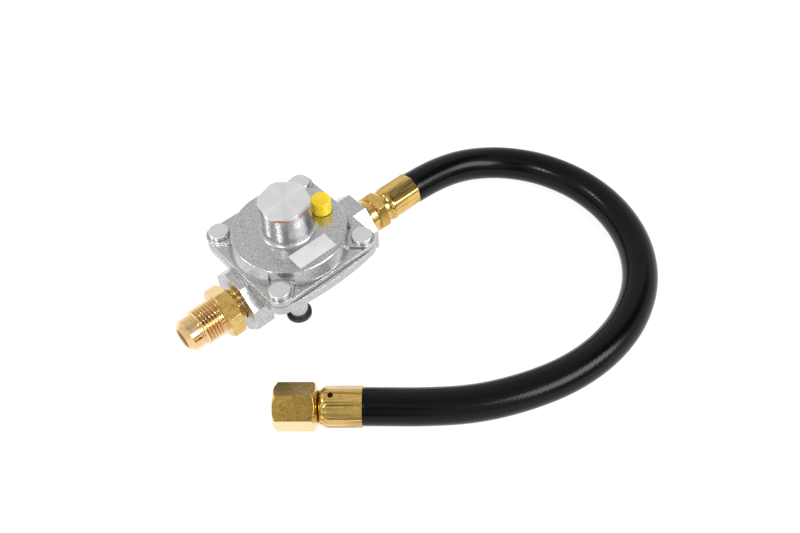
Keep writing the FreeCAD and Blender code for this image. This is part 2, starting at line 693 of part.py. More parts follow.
def cover_screws():
    """Four pan-head screws that clamp the castings."""
    screw = spun([
        (JOINT_Z - SCREW_GRIP, 0),
        (JOINT_Z - SCREW_GRIP, SCREW_RADIUS),
        (PAD_TOP, SCREW_RADIUS),
        (PAD_TOP, SCREW_HEAD_RADIUS),
        (PAD_TOP + SCREW_HEAD_HEIGHT - SCREW_CHAMFER, SCREW_HEAD_RADIUS),
        (PAD_TOP + SCREW_HEAD_HEIGHT, SCREW_HEAD_RADIUS - SCREW_CHAMFER),
        (PAD_TOP + SCREW_HEAD_HEIGHT, 0),
    ], UP)
    return Part.makeCompound(at_screws(screw))


def vent_cap():
    """Soft push-on cap over the vent boss."""
    bottom = CROWN_Z + VENT_CAP_LIFT
    top = bottom + VENT_CAP_LENGTH
    bore = VENT_BOSS_RADIUS + VENT_CAP_CLEARANCE
    mouth = (bottom, VENT_CAP_RADIUS)
    rim = (top, VENT_CAP_RADIUS - VENT_CAP_TAPER)
    cap = spun([
        (bottom, 0),
        mouth,
    ] + rounded(mouth, rim, (top, 0), VENT_CAP_ROUND) + [
        (top, 0),
    ], UP)
    cap = cap.cut(disc(bore, bottom - PAST, top - VENT_CAP_TOP))
    cap.translate(Vec(VENT_X, VENT_Y, 0))
    return cap


def rating_plate():
    """Thin bare plate stuck on the slope of the dome, bent to its outline."""
    bottom = SHOULDER_Z - SHOULDER_FILLET
    column = Part.makeBox(RATING_PLATE_LENGTH, RATING_PLATE_WIDTH, TOWER_TOP - bottom,
                          Vec(RATING_PLATE_X - RATING_PLATE_LENGTH / 2,
                              RATING_PLATE_Y - RATING_PLATE_WIDTH / 2, bottom))
    dome = spun(dome_outline(), UP)
    skin = dome.copy()
    skin.translate(Vec(0, 0, RATING_PLATE_THICK))
    return skin.cut(dome).common(column)


def foot_pad():
    """Rubber disc under the peg on the inlet side."""
    return disc(PAD_RADIUS, 0, PAD_THICK, FOOT_X, FOOT_Y)


def inlet_fitting():
    """Male flare fitting screwed into the inlet port, made along +X and turned round."""
    hex_start = INLET_GAP
    hex_end = hex_start + INLET_HEX_LENGTH
    thread = hex_end + INLET_NECK_LENGTH
    relief = thread + FLARE_THREAD_LENGTH
    nose = relief + FLARE_RELIEF_LENGTH
    land = nose + FLARE_LAND_LENGTH
    mouth = land + FLARE_NOSE_RADIUS - FLARE_MOUTH_RADIUS
    body = turned([
        (-TAPER_DEPTH, TAPER_RADIUS),
        (0, TAPER_RADIUS),
        (COLLAR_STEP, INLET_COLLAR_RADIUS),
        (hex_start, INLET_COLLAR_RADIUS),
        (hex_start, INLET_NECK_RADIUS),
        (thread, INLET_NECK_RADIUS),
        (thread, FLARE_THREAD_RADIUS),
        (relief, FLARE_THREAD_RADIUS),
        (relief, FLARE_RELIEF_RADIUS),
        (nose, FLARE_RELIEF_RADIUS),
        (nose, FLARE_NOSE_RADIUS),
        (land, FLARE_NOSE_RADIUS),
        (mouth, FLARE_MOUTH_RADIUS),
    ])
    grip = chamfered_prism(6, INLET_HEX_FLATS, hex_start, hex_end, HEX_CHAMFER)
    fitting = body.fuse(grip).cut(rod(FLARE_BORE, -TAPER_DEPTH - PAST, mouth + PAST))
    fitting.Placement = at(-INLET_FACE, 0, AXIS_Z, 180)
    return fitting.removeSplitter()


def barb(start):
    """Outline of the barbed tail that the hose is pushed onto."""
    crest = HOSE_BORE - BARB_FIT
    points = []
    for i in range(BARB_STEPS):
        root = start + i * BARB_STEP_LENGTH
        points.append((root, crest))
        points.append((root + BARB_STEP_LENGTH, BARB_ROOT))
    return points


def outlet_stem():
    """Hose stem screwed into the outlet port, with its hexagon and its barb."""
    hex_start = OUTLET_GAP
    hex_end = hex_start + STEM_HEX_LENGTH
    ferrule = hex_end + STEM_NECK_LENGTH
    body = turned([
        (-TAPER_DEPTH, TAPER_RADIUS),
        (0, TAPER_RADIUS),
        (COLLAR_STEP, OUTLET_COLLAR_RADIUS),
        (hex_start, OUTLET_COLLAR_RADIUS),
        (hex_start, STEM_NECK_RADIUS),
        (ferrule, STEM_NECK_RADIUS),
        (ferrule, HOSE_BORE - BARB_FIT),
    ] + barb(ferrule + HOSE_INSET))
    grip = chamfered_prism(6, STEM_HEX_FLATS, hex_start, hex_end, HEX_CHAMFER, STEM_HEX_TURN)
    stem = body.fuse(grip)
    tail = ferrule + HOSE_INSET + BARB_STEPS * BARB_STEP_LENGTH
    stem = stem.cut(rod(STEM_BORE, -TAPER_DEPTH - PAST, tail + PAST))
    stem.Placement = at(OUTLET_FACE, 0, AXIS_Z)
    return stem.removeSplitter()


def ferrule(panel_turn):
    """Crimped sleeve along +X from its closed end, with eight pressed panels."""
    outer = turned([
        (0, FERRULE_NECK_RADIUS),
        (FERRULE_MID_PLACE, FERRULE_MID_RADIUS, FERRULE_SHOULDER, FERRULE_RADIUS),
        (FERRULE_LENGTH, FERRULE_RADIUS),
    ])
    panels = prism(8, FERRULE_FLATS, CRIMP_START, FERRULE_LENGTH + PAST, panel_turn)
    sleeve = outer.common(panels)
    head = outer.common(rod(FERRULE_RADIUS * 2, 0, CRIMP_START))
    bore = HOSE_CRIMPED_RADIUS + FERRULE_FIT
    shell = head.fuse(sleeve)
    shell = shell.cut(rod(bore, FERRULE_END_WALL, FERRULE_LENGTH + PAST))
    shell = shell.cut(rod(HOSE_BORE, -PAST, FERRULE_LENGTH))
    return shell.removeSplitter()


def near_ferrule():
    """Ferrule beside the regulator."""
    sleeve = ferrule(NEAR_PANEL_TURN)
    sleeve.Placement = at(FERRULE_X, 0, AXIS_Z)
    return sleeve


def far_place(along):
    """Point on the far fitting's axis, measured from the nut's open face."""
    a = math.radians(NUT_TURN)
    return NUT_FACE + Vec(math.cos(a), math.sin(a), 0) * along


def far_placed(shape, along=0.0):
    """Shape made along +X, set on the far fitting's axis."""
    p = far_place(along)
    shape.Placement = at(p.x, p.y, p.z, NUT_TURN)
    return shape


def far_ferrule():
    """Ferrule at the loose end, with its witness hole."""
    a = math.radians(WITNESS_TURN)
    out = Vec(0, math.cos(a), math.sin(a))
    start = Vec(WITNESS_PLACE, 0, 0) + out * HOSE_BORE
    hole = Part.makeCylinder(WITNESS_RADIUS, FERRULE_RADIUS, start, out)
    return far_placed(ferrule(FAR_PANEL_TURN).cut(hole), FAR_FERRULE_PLACE)


def far_stem():
    """Hose stem with the flare seat that the swivel nut pulls up."""
    head = NUT_THREAD_DEPTH + SWIVEL_CLEARANCE
    back = head + SEAT_LAND
    neck = back + SEAT_HEAD_RADIUS - FAR_NECK_RADIUS
    ring = FAR_FERRULE_PLACE - FAR_RING_LENGTH
    body = turned([
        (head, SEAT_HEAD_RADIUS),
        (back, SEAT_HEAD_RADIUS),
        (neck, FAR_NECK_RADIUS),
        (ring, FAR_NECK_RADIUS),
        (ring, FAR_RING_RADIUS),
        (FAR_FERRULE_PLACE, FAR_RING_RADIUS),
        (FAR_FERRULE_PLACE, HOSE_BORE - BARB_FIT),
    ] + barb(FAR_FERRULE_PLACE + HOSE_INSET))
    body = body.cut(turned([
        (head, SEAT_RADIUS),
        (head + SEAT_RADIUS - STEM_BORE, STEM_BORE),
        (FAR_FERRULE_PLACE + FERRULE_LENGTH, STEM_BORE),
    ]))
    return far_placed(body)


def swivel_nut():
    """Flare nut that turns freely on the far stem."""
    body_end = NUT_LENGTH - NUT_BACK_LENGTH
    hexagon = prism(6, NUT_FLATS, 0, NUT_LENGTH, NUT_CORNER_TURN + HALF_HEX).common(turned([
        (0, NUT_FLATS / 2),
        (NUT_CHAMFER, NUT_REACH),
        (body_end, NUT_REACH),
        (NUT_LENGTH, NUT_BACK_RADIUS),
    ]))
    back = NUT_THREAD_DEPTH + SEAT_LAND + SWIVEL_CLEARANCE
    neck = FAR_NECK_RADIUS + SWIVEL_CLEARANCE
    hollow = turned([
        (-PAST, NUT_THREAD_BORE),
        (NUT_THREAD_DEPTH, NUT_THREAD_BORE),
        (NUT_THREAD_DEPTH, NUT_RELIEF_RADIUS),
        (back, NUT_RELIEF_RADIUS),
        (back + NUT_RELIEF_RADIUS - neck, neck),
        (NUT_LENGTH + PAST, neck),
    ])
    return far_placed(hexagon.cut(hollow).removeSplitter())


def route_points():
    """Whole control polygon of the hose, with its straight ends in the ferrules."""
    start = Vec(FERRULE_X + HOSE_INSET, 0, AXIS_Z)
    rim = far_place(FAR_FERRULE_PLACE + FERRULE_LENGTH)
    end = far_place(FAR_FERRULE_PLACE + HOSE_INSET)
    out = (rim - end).normalize()
    return [start] + ROUTE + [rim + out * LAST_RUN, end]


def hose_path(points):
    """Straight runs joined by tangent arcs, with the bend radii."""
    edges = []
    radii = []
    last = points[0]
    for before, corner, after in zip(points, points[1:], points[2:]):
        back = before - corner
        ahead = after - corner
        reach = ARC_SHARE * min(back.Length, ahead.Length)
        enter = corner + back.normalize() * reach
        leave = corner + ahead.normalize() * reach
        arc, radius = arc_round(corner, enter, leave)
        edges.append(Part.LineSegment(last, enter).toShape())
        edges.append(arc.toShape())
        radii.append(radius)
        last = leave
    edges.append(Part.LineSegment(last, points[-1]).toShape())
    return Part.Wire(edges), radii


def hose():
    """Rubber hose, squeezed thinner inside its ferrules."""
    points = route_points()
    path, radii = hose_path(points)
    outer = Part.Wire(Part.Circle(points[0], FLOW, HOSE_RADIUS).toShape())
    inner = Part.Wire(Part.Circle(points[0], FLOW, HOSE_BORE).toShape())
    tube = path.makePipeShell([outer], True, False)
    bore = path.makePipeShell([inner], True, False)
    area = math.pi * (HOSE_RADIUS ** 2 - HOSE_BORE ** 2)
    tube = tube.cut(bore)
    print("hose: length %.1f, volume %.0f of %.0f" % (path.Length, tube.Volume, area * path.Length))
    print("hose: bend radii " + ", ".join("%.0f" % r for r in radii))
    grip = FERRULE_LENGTH - HOSE_INSET
    sleeve = rod(HOSE_RADIUS + PAST, 0, grip).cut(rod(HOSE_CRIMPED_RADIUS, -PAST, grip + PAST))
    near = sleeve.copy()
    near.Placement = at(FERRULE_X + HOSE_INSET, 0, AXIS_Z)
    far = far_placed(sleeve.copy(), FAR_FERRULE_PLACE + HOSE_INSET)
    return tube.cut([near, far])


def lower_plate():
    """Plate below the diaphragm."""
    return stem_plate(JOINT_Z - PLATE_THICK, False)


def upper_plate():
    """Plate above the diaphragm, which carries the spring."""
    return stem_plate(COVER_Z, True)


NODES = {
    "lower_body": lower_body,
    "upper_cover": upper_cover,
    "diaphragm": diaphragm,
    "lower_diaphragm_plate": lower_plate,
    "upper_diaphragm_plate": upper_plate,
    "stem_nut": stem_nut,
    "valve_stem": valve_stem,
    "disc_holder": disc_holder,
    "valve_disc": valve_disc,
    "main_spring": main_spring,
    "reversible_pin": reversible_pin,
    "top_cap": top_cap,
    "cap_gasket": cap_gasket,
    "cover_screws": cover_screws,
    "vent_cap": vent_cap,
    "rating_plate": rating_plate,
    "foot_pad": foot_pad,
    "inlet_fitting": inlet_fitting,
    "outlet_stem": outlet_stem,
    "near_ferrule": near_ferrule,
    "hose": hose,
    "far_ferrule": far_ferrule,
    "far_stem": far_stem,
    "swivel_nut": swivel_nut,
}


def main():
    """Write each piece to its own file."""
    os.makedirs("parts", exist_ok=True)
    for name, make in NODES.items():
        shape = make()
        box = shape.BoundBox
        print("%-22s solids %d valid %s volume %8.1f  x %.1f %.1f  y %.1f %.1f  z %.1f %.1f" % (
            name, len(shape.Solids), shape.isValid(), shape.Volume,
            box.XMin, box.XMax, box.YMin, box.YMax, box.ZMin, box.ZMax))
        shape.exportStep("parts/%s.step" % name)


main()
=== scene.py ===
"""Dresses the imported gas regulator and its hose: finishes, threads, bevels, light and camera.

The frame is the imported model's: the spring tower stands on the origin, +X runs along the
gas flow and +Z is up. Sizes are in millimetres, and become metres where a shape is made.
"""

import math

import bmesh
import bpy
from mathutils import Matrix, Vector


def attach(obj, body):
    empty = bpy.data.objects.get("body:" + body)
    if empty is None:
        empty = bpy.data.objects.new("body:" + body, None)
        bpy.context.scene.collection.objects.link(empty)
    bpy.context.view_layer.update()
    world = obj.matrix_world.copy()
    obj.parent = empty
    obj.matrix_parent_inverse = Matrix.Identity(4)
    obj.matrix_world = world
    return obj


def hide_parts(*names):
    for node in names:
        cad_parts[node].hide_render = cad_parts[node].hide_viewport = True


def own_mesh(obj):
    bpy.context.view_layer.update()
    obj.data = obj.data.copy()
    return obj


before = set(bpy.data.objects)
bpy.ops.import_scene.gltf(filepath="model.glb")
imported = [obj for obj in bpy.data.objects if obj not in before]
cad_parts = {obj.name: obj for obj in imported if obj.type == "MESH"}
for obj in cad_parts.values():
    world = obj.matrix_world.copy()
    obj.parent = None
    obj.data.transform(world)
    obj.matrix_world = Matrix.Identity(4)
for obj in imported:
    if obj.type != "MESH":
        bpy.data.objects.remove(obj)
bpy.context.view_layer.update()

MM = 0.001
ALONG = Vector((1, 0, 0))
UP = Vector((0, 0, 1))

# Camera, from the photograph's perspective
CAMERA_PLACE = (-136.76 * MM, -245.65 * MM, 344.93 * MM)
CAMERA_AZIMUTH = -39.78
CAMERA_PITCH = 50.48
CAMERA_ROLL = -2.53
CAMERA_LENS = 38.66

LIGHTS_AIM = (0.05, -0.05, 0.02)      # in metres

# Gas line and its two ends
AXIS_Z = 15.5
INLET_FACE = -35.5
OUTLET_FACE = 41.5
NUT_FACE = (-56.3, -55.4, 11.0485)
NUT_TURN = -42.53
FAR_AXIS = (math.cos(math.radians(NUT_TURN)), math.sin(math.radians(NUT_TURN)), 0.0)
FERRULE_X = 57.0
FAR_FERRULE_PLACE = 21.25

# Hexagons: width across the flats, and how far each is turned on its own axis
INLET_FLATS = 23.0
STEM_FLATS = 19.05
STEM_FLATS_TURN = 37.8
NUT_FLATS = 19.05
NUT_FLATS_TURN = 65.9
CAP_FLATS = 22.9
CAP_FLATS_TURN = 17.0

# Threads: crest radius, root radius and pitch
INLET_PORT_THREAD = (8.85, 8.25, 1.81)
OUTLET_PORT_THREAD = (8.9, 8.2, 1.41)
FLARE_THREAD = (9.525, 8.55, 1.5875)
NUT_THREAD = (7.94, 7.25, 1.411)
PLUG_THREAD = (9.85, 9.2, 1.25)
THREAD_ROUNDING = 0.07

# Barbs of both hose stems
BARBS = 4
BARB_LENGTH = 3.6
BARB_CREST = 4.74
BARB_ROOT = 4.1

# Crimped ferrules: a turned sleeve with a rounded shoulder, pressed by eight dies
FERRULE_LENGTH = 19.5
FERRULE_RADIUS = 9.25
FERRULE_INSIDE = 8.5       # what lies nearer to the axis isn't pressed
SHOULDER_RADIUS = 6.3      # where the shoulder starts
SHOULDER_LENGTH = 4.6
SHOULDER_STEPS = 16
PANEL_LENGTH = 14.7
PANEL_STEPS = 49
PANEL_ANGLE = 45.0
PANEL_DEPTH = 8.75         # from the axis to the middle of a panel
PANEL_START = 4.0          # where a panel reaches its full depth
RIDGE_RADIUS = 9.22        # edge between two panels
RIDGE_BURR = 0.13          # what the dies raise on that edge
RIDGE_START = 3.4
RIDGE_RUN = 1.8
WITNESS_PLACE = 5.6
WITNESS_RADIUS = 1.3

# Regulator's screws and vent
SCREW_REACH = 24.5
VENT_PLACE = (18.713, -1.802, 0)

# Spring under the cap: its bottom and its top
SPRING_BOTTOM = 35.15
SPRING_TOP = 50.55

# Hose
HOSE_RADIUS = 8.65
HOSE_CRIMPED_RADIUS = 8.1
HOSE_BORE = 4.76
HOSE_GRIP = 16.7           # from the hose's end to where it has its full radius
CRIMP_RUN = 1.6            # stretch of that over which it widens
HOSE_SIDES = 96
HOSE_PRINT = "round the hose"
ROUTE = [
    (60.8, 0.0, 15.5),
    (85.0, 0.0, 15.5),
    (108.0, -2.5, 13.0),
    (125.0, -9.5, 10.2),
    (138.0, -21.0, 8.65),
    (147.0, -37.5, 8.65),
    (151.5, -59.0, 8.65),
    (149.0, -82.0, 8.65),
    (139.0, -104.0, 8.65),
    (122.0, -121.5, 8.65),
    (100.0, -132.0, 8.65),
    (78.0, -135.5, 8.65),
    (56.0, -133.5, 8.65),
    (34.5, -126.5, 8.65),
    (13.0, -115.5, 8.65),
    (-6.0, -101.5, 10.4),
    (-22.25, -86.63, 11.05),
    (-38.61, -71.62, 11.05),
]

# Roundness and softness of the turned and milled pieces
ROUND_SIDES = 160
FERRULE_SIDES = 256
SMALL_SIDES = 96           # threads, screws and the vent's cap
EDGE = 0.14                # bevel of a machined edge
CHAMFER_SLOPE = 30.0
SHARP_ANGLE = 20.0         # edges sharper than this are bevelled
FLAT_ANGLE = 0.4           # faces that meet at less become one
SMOOTH_ANGLE = 32.0        # faces that meet at less look round
CLEAR = 0.05               # how far a turned barrel passes a hexagon's corners
SLEEVE_BORE = 8.0          # hexagons and threads are sleeves on their fitting's body
MERGE = MM / 2000          # points nearer than this become one
SPECK = MM / 5000          # edges shorter than this are taken out


# Node trees

def empty_tree(holder):
    """Node tree of a material or a world, emptied."""
    holder.use_nodes = True
    holder.node_tree.nodes.clear()
    return holder.node_tree


def new_tree(name):
    """Material with its node tree, and its shader wired to the output."""
    material = bpy.data.materials.new(name)
    tree = empty_tree(material)
    output = tree.nodes.new("ShaderNodeOutputMaterial")
    shader = tree.nodes.new("ShaderNodeBsdfPrincipled")
    tree.links.new(shader.outputs["BSDF"], output.inputs["Surface"])
    return material, tree, shader


def feed(tree, node, inputs):
    """Sets a node's inputs; a value is a number, a colour or another node's output."""
    for name, value in inputs.items():
        if isinstance(value, bpy.types.NodeSocket):
            tree.links.new(value, node.inputs[name])
        else:
            node.inputs[name].default_value = value


def add(tree, kind, inputs=None, **settings):
    """New node with its settings and inputs."""
    made = tree.nodes.new(kind)
    for name, value in settings.items():
        setattr(made, name, value)
    feed(tree, made, inputs or {})
    return made


def ramp(tree, value, stops):
    """Colour ramp over a value; stops are (place, colour)."""
    made = add(tree, "ShaderNodeValToRGB", {"Fac": value})
    elements = made.color_ramp.elements
    elements[0].position, elements[0].color = stops[0]
    elements[1].position, elements[1].color = stops[-1]
    for place, colour in stops[1:-1]:
        elements.new(place).color = colour
    return made.outputs["Color"]


def sum_of(tree, operation, a, b=0.0, clamp=False):
    """One sum on values."""
    made = add(tree, "ShaderNodeMath", {0: a, 1: b}, operation=operation, use_clamp=clamp)
    return made.outputs["Value"]


def scaled(tree, value, share):
    """Value times a share."""
    return sum_of(tree, "MULTIPLY", value, share)


def stretch(tree, value, low, high, to_low=0.0, to_high=1.0):
    """Value spread from one range to another, held at its ends."""
    return add(tree, "ShaderNodeMapRange", {
        "Value": value, "From Min": low, "From Max": high, "To Min": to_low, "To Max": to_high,
    }).outputs["Result"]


def blend(tree, factor, a, b):
    """Mix of two colours."""
    return add(tree, "ShaderNodeMix", {6: a, 7: b, 0: factor}, data_type="RGBA").outputs[2]


def laid_over(tree, under, over, mask, share):
    """Colour with another laid over it where a mask says, by a share of it at most."""
    return blend(tree, scaled(tree, mask, share), under, over)


def own_place(tree):
    """Place on the piece itself."""
    return add(tree, "ShaderNodeTexCoord").outputs["Object"]


def vector(tree, operation, a, b=None, result="Vector"):
    """One sum on vectors."""
    inputs = {0: a} if b is None else {0: a, 1: b}
    return add(tree, "ShaderNodeVectorMath", inputs, operation=operation).outputs[result]


def noise(tree, place, scale, detail=3.0, rough=0.6, **settings):
    """Noise over a place."""
    named = {"Scale": scale, "Detail": detail, "Roughness": rough}
    named["W" if settings.get("noise_dimensions") == "1D" else "Vector"] = place
    return add(tree, "ShaderNodeTexNoise", named, **settings).outputs["Fac"]


def bump(tree, height, strength, distance, normal=None):
    """Normal from a height, over another normal."""
    inputs = {"Height": height, "Strength": strength, "Distance": distance * MM}
    if normal is not None:
        inputs["Normal"] = normal
    return add(tree, "ShaderNodeBump", inputs).outputs["Normal"]


def grey(level):
    """Neutral colour of a linear level."""
    return (level, level, level, 1.0)


def shade_of(colour, share):
    """Colour made darker or lighter."""
    return tuple(min(1.0, c * share) for c in colour) + (1.0,)


def make_group(name, inputs, outputs):
    """Empty shader node group with its sockets; returns its tree, inputs and outputs."""
    group = bpy.data.node_groups.new(name, "ShaderNodeTree")
    for socket, kind, value in inputs:
        made = group.interface.new_socket(name=socket, in_out="INPUT", socket_type=kind)
        made.default_value = value
    for socket, kind in outputs:
        group.interface.new_socket(name=socket, in_out="OUTPUT", socket_type=kind)
    given = group.nodes.new("NodeGroupInput").outputs
    result = group.nodes.new("NodeGroupOutput")
    return group, given, result


def use(tree, group, **values):
    """Places a node group with its own values and returns its outputs."""
    made = tree.nodes.new("ShaderNodeGroup")
    made.node_tree = group
    feed(tree, made, {name.replace("_", " "): value for name, value in values.items()})
    return made.outputs


# Effects that several finishes share

def rounded_edge_group():
    """Softened edges: a normal that turns round them, and a mask of the edge where the finishes
    paint a highlight.
    """
    group, given, result = make_group("rounded edge", [
        ("Radius", "NodeSocketFloat", 0.0003),
    ], [
        ("Normal", "NodeSocketVector"),
        ("Painted Edge Highlight", "NodeSocketFloat"),
    ])
    soft = add(group, "ShaderNodeBevel", {"Radius": given["Radius"]}, samples=6)
    soft = soft.outputs["Normal"]
    flat = add(group, "ShaderNodeNewGeometry").outputs["Normal"]
    match = vector(group, "DOT_PRODUCT", soft, flat, result="Value")
    # mask of the edge, for a painted highlight
    edge = stretch(group, match, 0.995, 0.90)
    feed(group, result, {"Normal": soft, "Painted Edge Highlight": edge})
    return group


def painted_corner_shade_group():
    """Mask of the corners where two surfaces meet, where the finishes paint shade."""
    group, given, result = make_group("painted corner shade", [
        ("Reach", "NodeSocketFloat", 0.0015),
    ], [
        ("Mask", "NodeSocketFloat"),
    ])
    # painted shade: how near other surfaces are becomes a mask for darkening the colour
    near = add(group, "ShaderNodeAmbientOcclusion", {"Distance": given["Reach"]},
               samples=8).outputs["AO"]
    feed(group, result, {"Mask": stretch(group, near, 0.85, 0.35)})
    return group


def cast_grain_group():
    """Fine speckle, small dark pits and broad cloud of a die casting."""
    group, given, result = make_group("cast grain", [
        ("Grain Scale", "NodeSocketFloat", 2300.0),
        ("Pit Scale", "NodeSocketFloat", 520.0),
        ("Pit Amount", "NodeSocketFloat", 0.5),
    ], [
        ("Speckle", "NodeSocketFloat"),
        ("Pits", "NodeSocketFloat"),
        ("Cloud", "NodeSocketFloat"),
        ("Height", "NodeSocketFloat"),
    ])
    place = own_place(group)
    speckle = noise(group, place, given["Grain Scale"], 3.0, 0.65)
    cloud = noise(group, place, 120.0, 4.0, 0.6)
    cells = add(group, "ShaderNodeTexVoronoi", {"Vector": place, "Scale": given["Pit Scale"]})
    sparse = noise(group, place, 170.0, 2.0)
    pits = sum_of(group, "MULTIPLY", stretch(group, cells.outputs["Distance"], 0.22, 0.08),
                  stretch(group, sparse, 0.52, 0.62), clamp=True)
    pits = scaled(group, pits, given["Pit Amount"])
    raised = sum_of(group, "SUBTRACT", speckle, pits)
    feed(group, result, {"Speckle": speckle, "Pits": pits, "Cloud": cloud, "Height": raised})
    return group


def tool_mark_group():
    """Fine rings left by turning, across an axis."""
    group, given, result = make_group("tool marks", [
        ("Axis", "NodeSocketVector", (1.0, 0.0, 0.0)),
        ("Scale", "NodeSocketFloat", 3500.0),
    ], [
        ("Marks", "NodeSocketFloat"),
    ])
    along = vector(group, "DOT_PRODUCT", own_place(group), given["Axis"], result="Value")
    marks = noise(group, scaled(group, along, given["Scale"]), 1.0, 2.0, 0.7,
                  noise_dimensions="1D")
    feed(group, result, {"Marks": marks})
    return group


def mottle_group():
    """Uneven tarnish of brass: broad cloud, fine grain and short scratches."""
    group, given, result = make_group("brass mottle", [
        ("Cloud Scale", "NodeSocketFloat", 260.0),
        ("Grain Scale", "NodeSocketFloat", 1700.0),
    ], [
        ("Cloud", "NodeSocketFloat"),
        ("Grain", "NodeSocketFloat"),
        ("Scratches", "NodeSocketFloat"),
    ])
    place = own_place(group)
    cloud = noise(group, place, given["Cloud Scale"], 5.0, 0.62)
    grain = noise(group, place, given["Grain Scale"], 3.0, 0.7)
    drawn = add(group, "ShaderNodeMapping", {
        "Vector": place, "Rotation": (0.4, 0.7, 0.5), "Scale": (9000.0, 500.0, 500.0),
    }).outputs["Vector"]
    scratches = stretch(group, noise(group, drawn, 1.0, 1.0, 0.5), 0.62, 0.72)
    feed(group, result, {"Cloud": cloud, "Grain": grain, "Scratches": scratches})
    return group


ROUNDED_EDGE = rounded_edge_group()
PAINTED_CORNER_SHADE = painted_corner_shade_group()
CAST_GRAIN = cast_grain_group()
TOOL_MARKS = tool_mark_group()
BRASS_MOTTLE = mottle_group()


# Finishes

def cast_aluminium():
    """Die-cast surface: light grey with a sheen, speckled, with small pits, a painted highlight
    on its edges and painted shade in its corners.
    """
    material, tree, shader = new_tree("cast aluminium")
    soft = use(tree, ROUNDED_EDGE, Radius=0.35 * MM)
    grain = use(tree, CAST_GRAIN, Pit_Amount=0.8)
    colour = ramp(tree, grain["Speckle"], [
        (0.34, (0.31, 0.315, 0.33, 1)), (0.50, (0.51, 0.51, 0.515, 1)),
        (0.66, (0.74, 0.74, 0.735, 1)),
    ])
    colour = blend(tree, grain["Pits"], colour, (0.30, 0.29, 0.28, 1))
    # painted highlight: the edges are lightened to near white
    colour = laid_over(tree, colour, grey(0.90), soft["Painted Edge Highlight"], 0.7)
    # painted shade: corners where surfaces meet are darkened to a near-black grey
    corner = use(tree, PAINTED_CORNER_SHADE, Reach=1.1 * MM)
    colour = laid_over(tree, colour, (0.10, 0.105, 0.115, 1), corner["Mask"], 0.8)
    rough = stretch(tree, grain["Cloud"], 0.3, 0.7, 0.18, 0.30)
    rough = sum_of(tree, "ADD", rough, scaled(tree, grain["Pits"], 0.25))
    feed(tree, shader, {
        "Base Color": colour, "Metallic": 0.95, "Roughness": rough,
        "Normal": bump(tree, grain["Height"], 0.28, 0.05, soft["Normal"]),
    })
    return material


def turned_aluminium():
    """Closure cap: fine rings on its face, lightly speckled flats, and a painted highlight on
    its edges.
    """
    material, tree, shader = new_tree("turned aluminium")
    soft = use(tree, ROUNDED_EDGE, Radius=0.2 * MM)
    grain = use(tree, CAST_GRAIN, Pit_Amount=0.35)
    level = vector(tree, "MULTIPLY", own_place(tree), (1.0, 1.0, 0.0))
    out = vector(tree, "LENGTH", level, result="Value")
    rings = noise(tree, scaled(tree, out, 5200.0), 1.0, 2.0, 0.7, noise_dimensions="1D")
    colour = ramp(tree, rings, [(0.25, grey(0.76)), (0.75, grey(0.84))])
    # painted highlight: the edges are lightened to near white
    colour = laid_over(tree, colour, grey(0.95), soft["Painted Edge Highlight"], 0.6)
    around = add(tree, "ShaderNodeTangent", direction_type="RADIAL", axis="Z")
    height = sum_of(tree, "ADD", rings, scaled(tree, grain["Speckle"], 0.3))
    feed(tree, shader, {
        "Base Color": colour, "Metallic": 0.95, "Roughness": 0.31, "Anisotropic": 0.85,
        "Anisotropic Rotation": 0.25, "Tangent": around.outputs["Tangent"],
        "Normal": bump(tree, height, 0.10, 0.01, soft["Normal"]),
    })
    return material


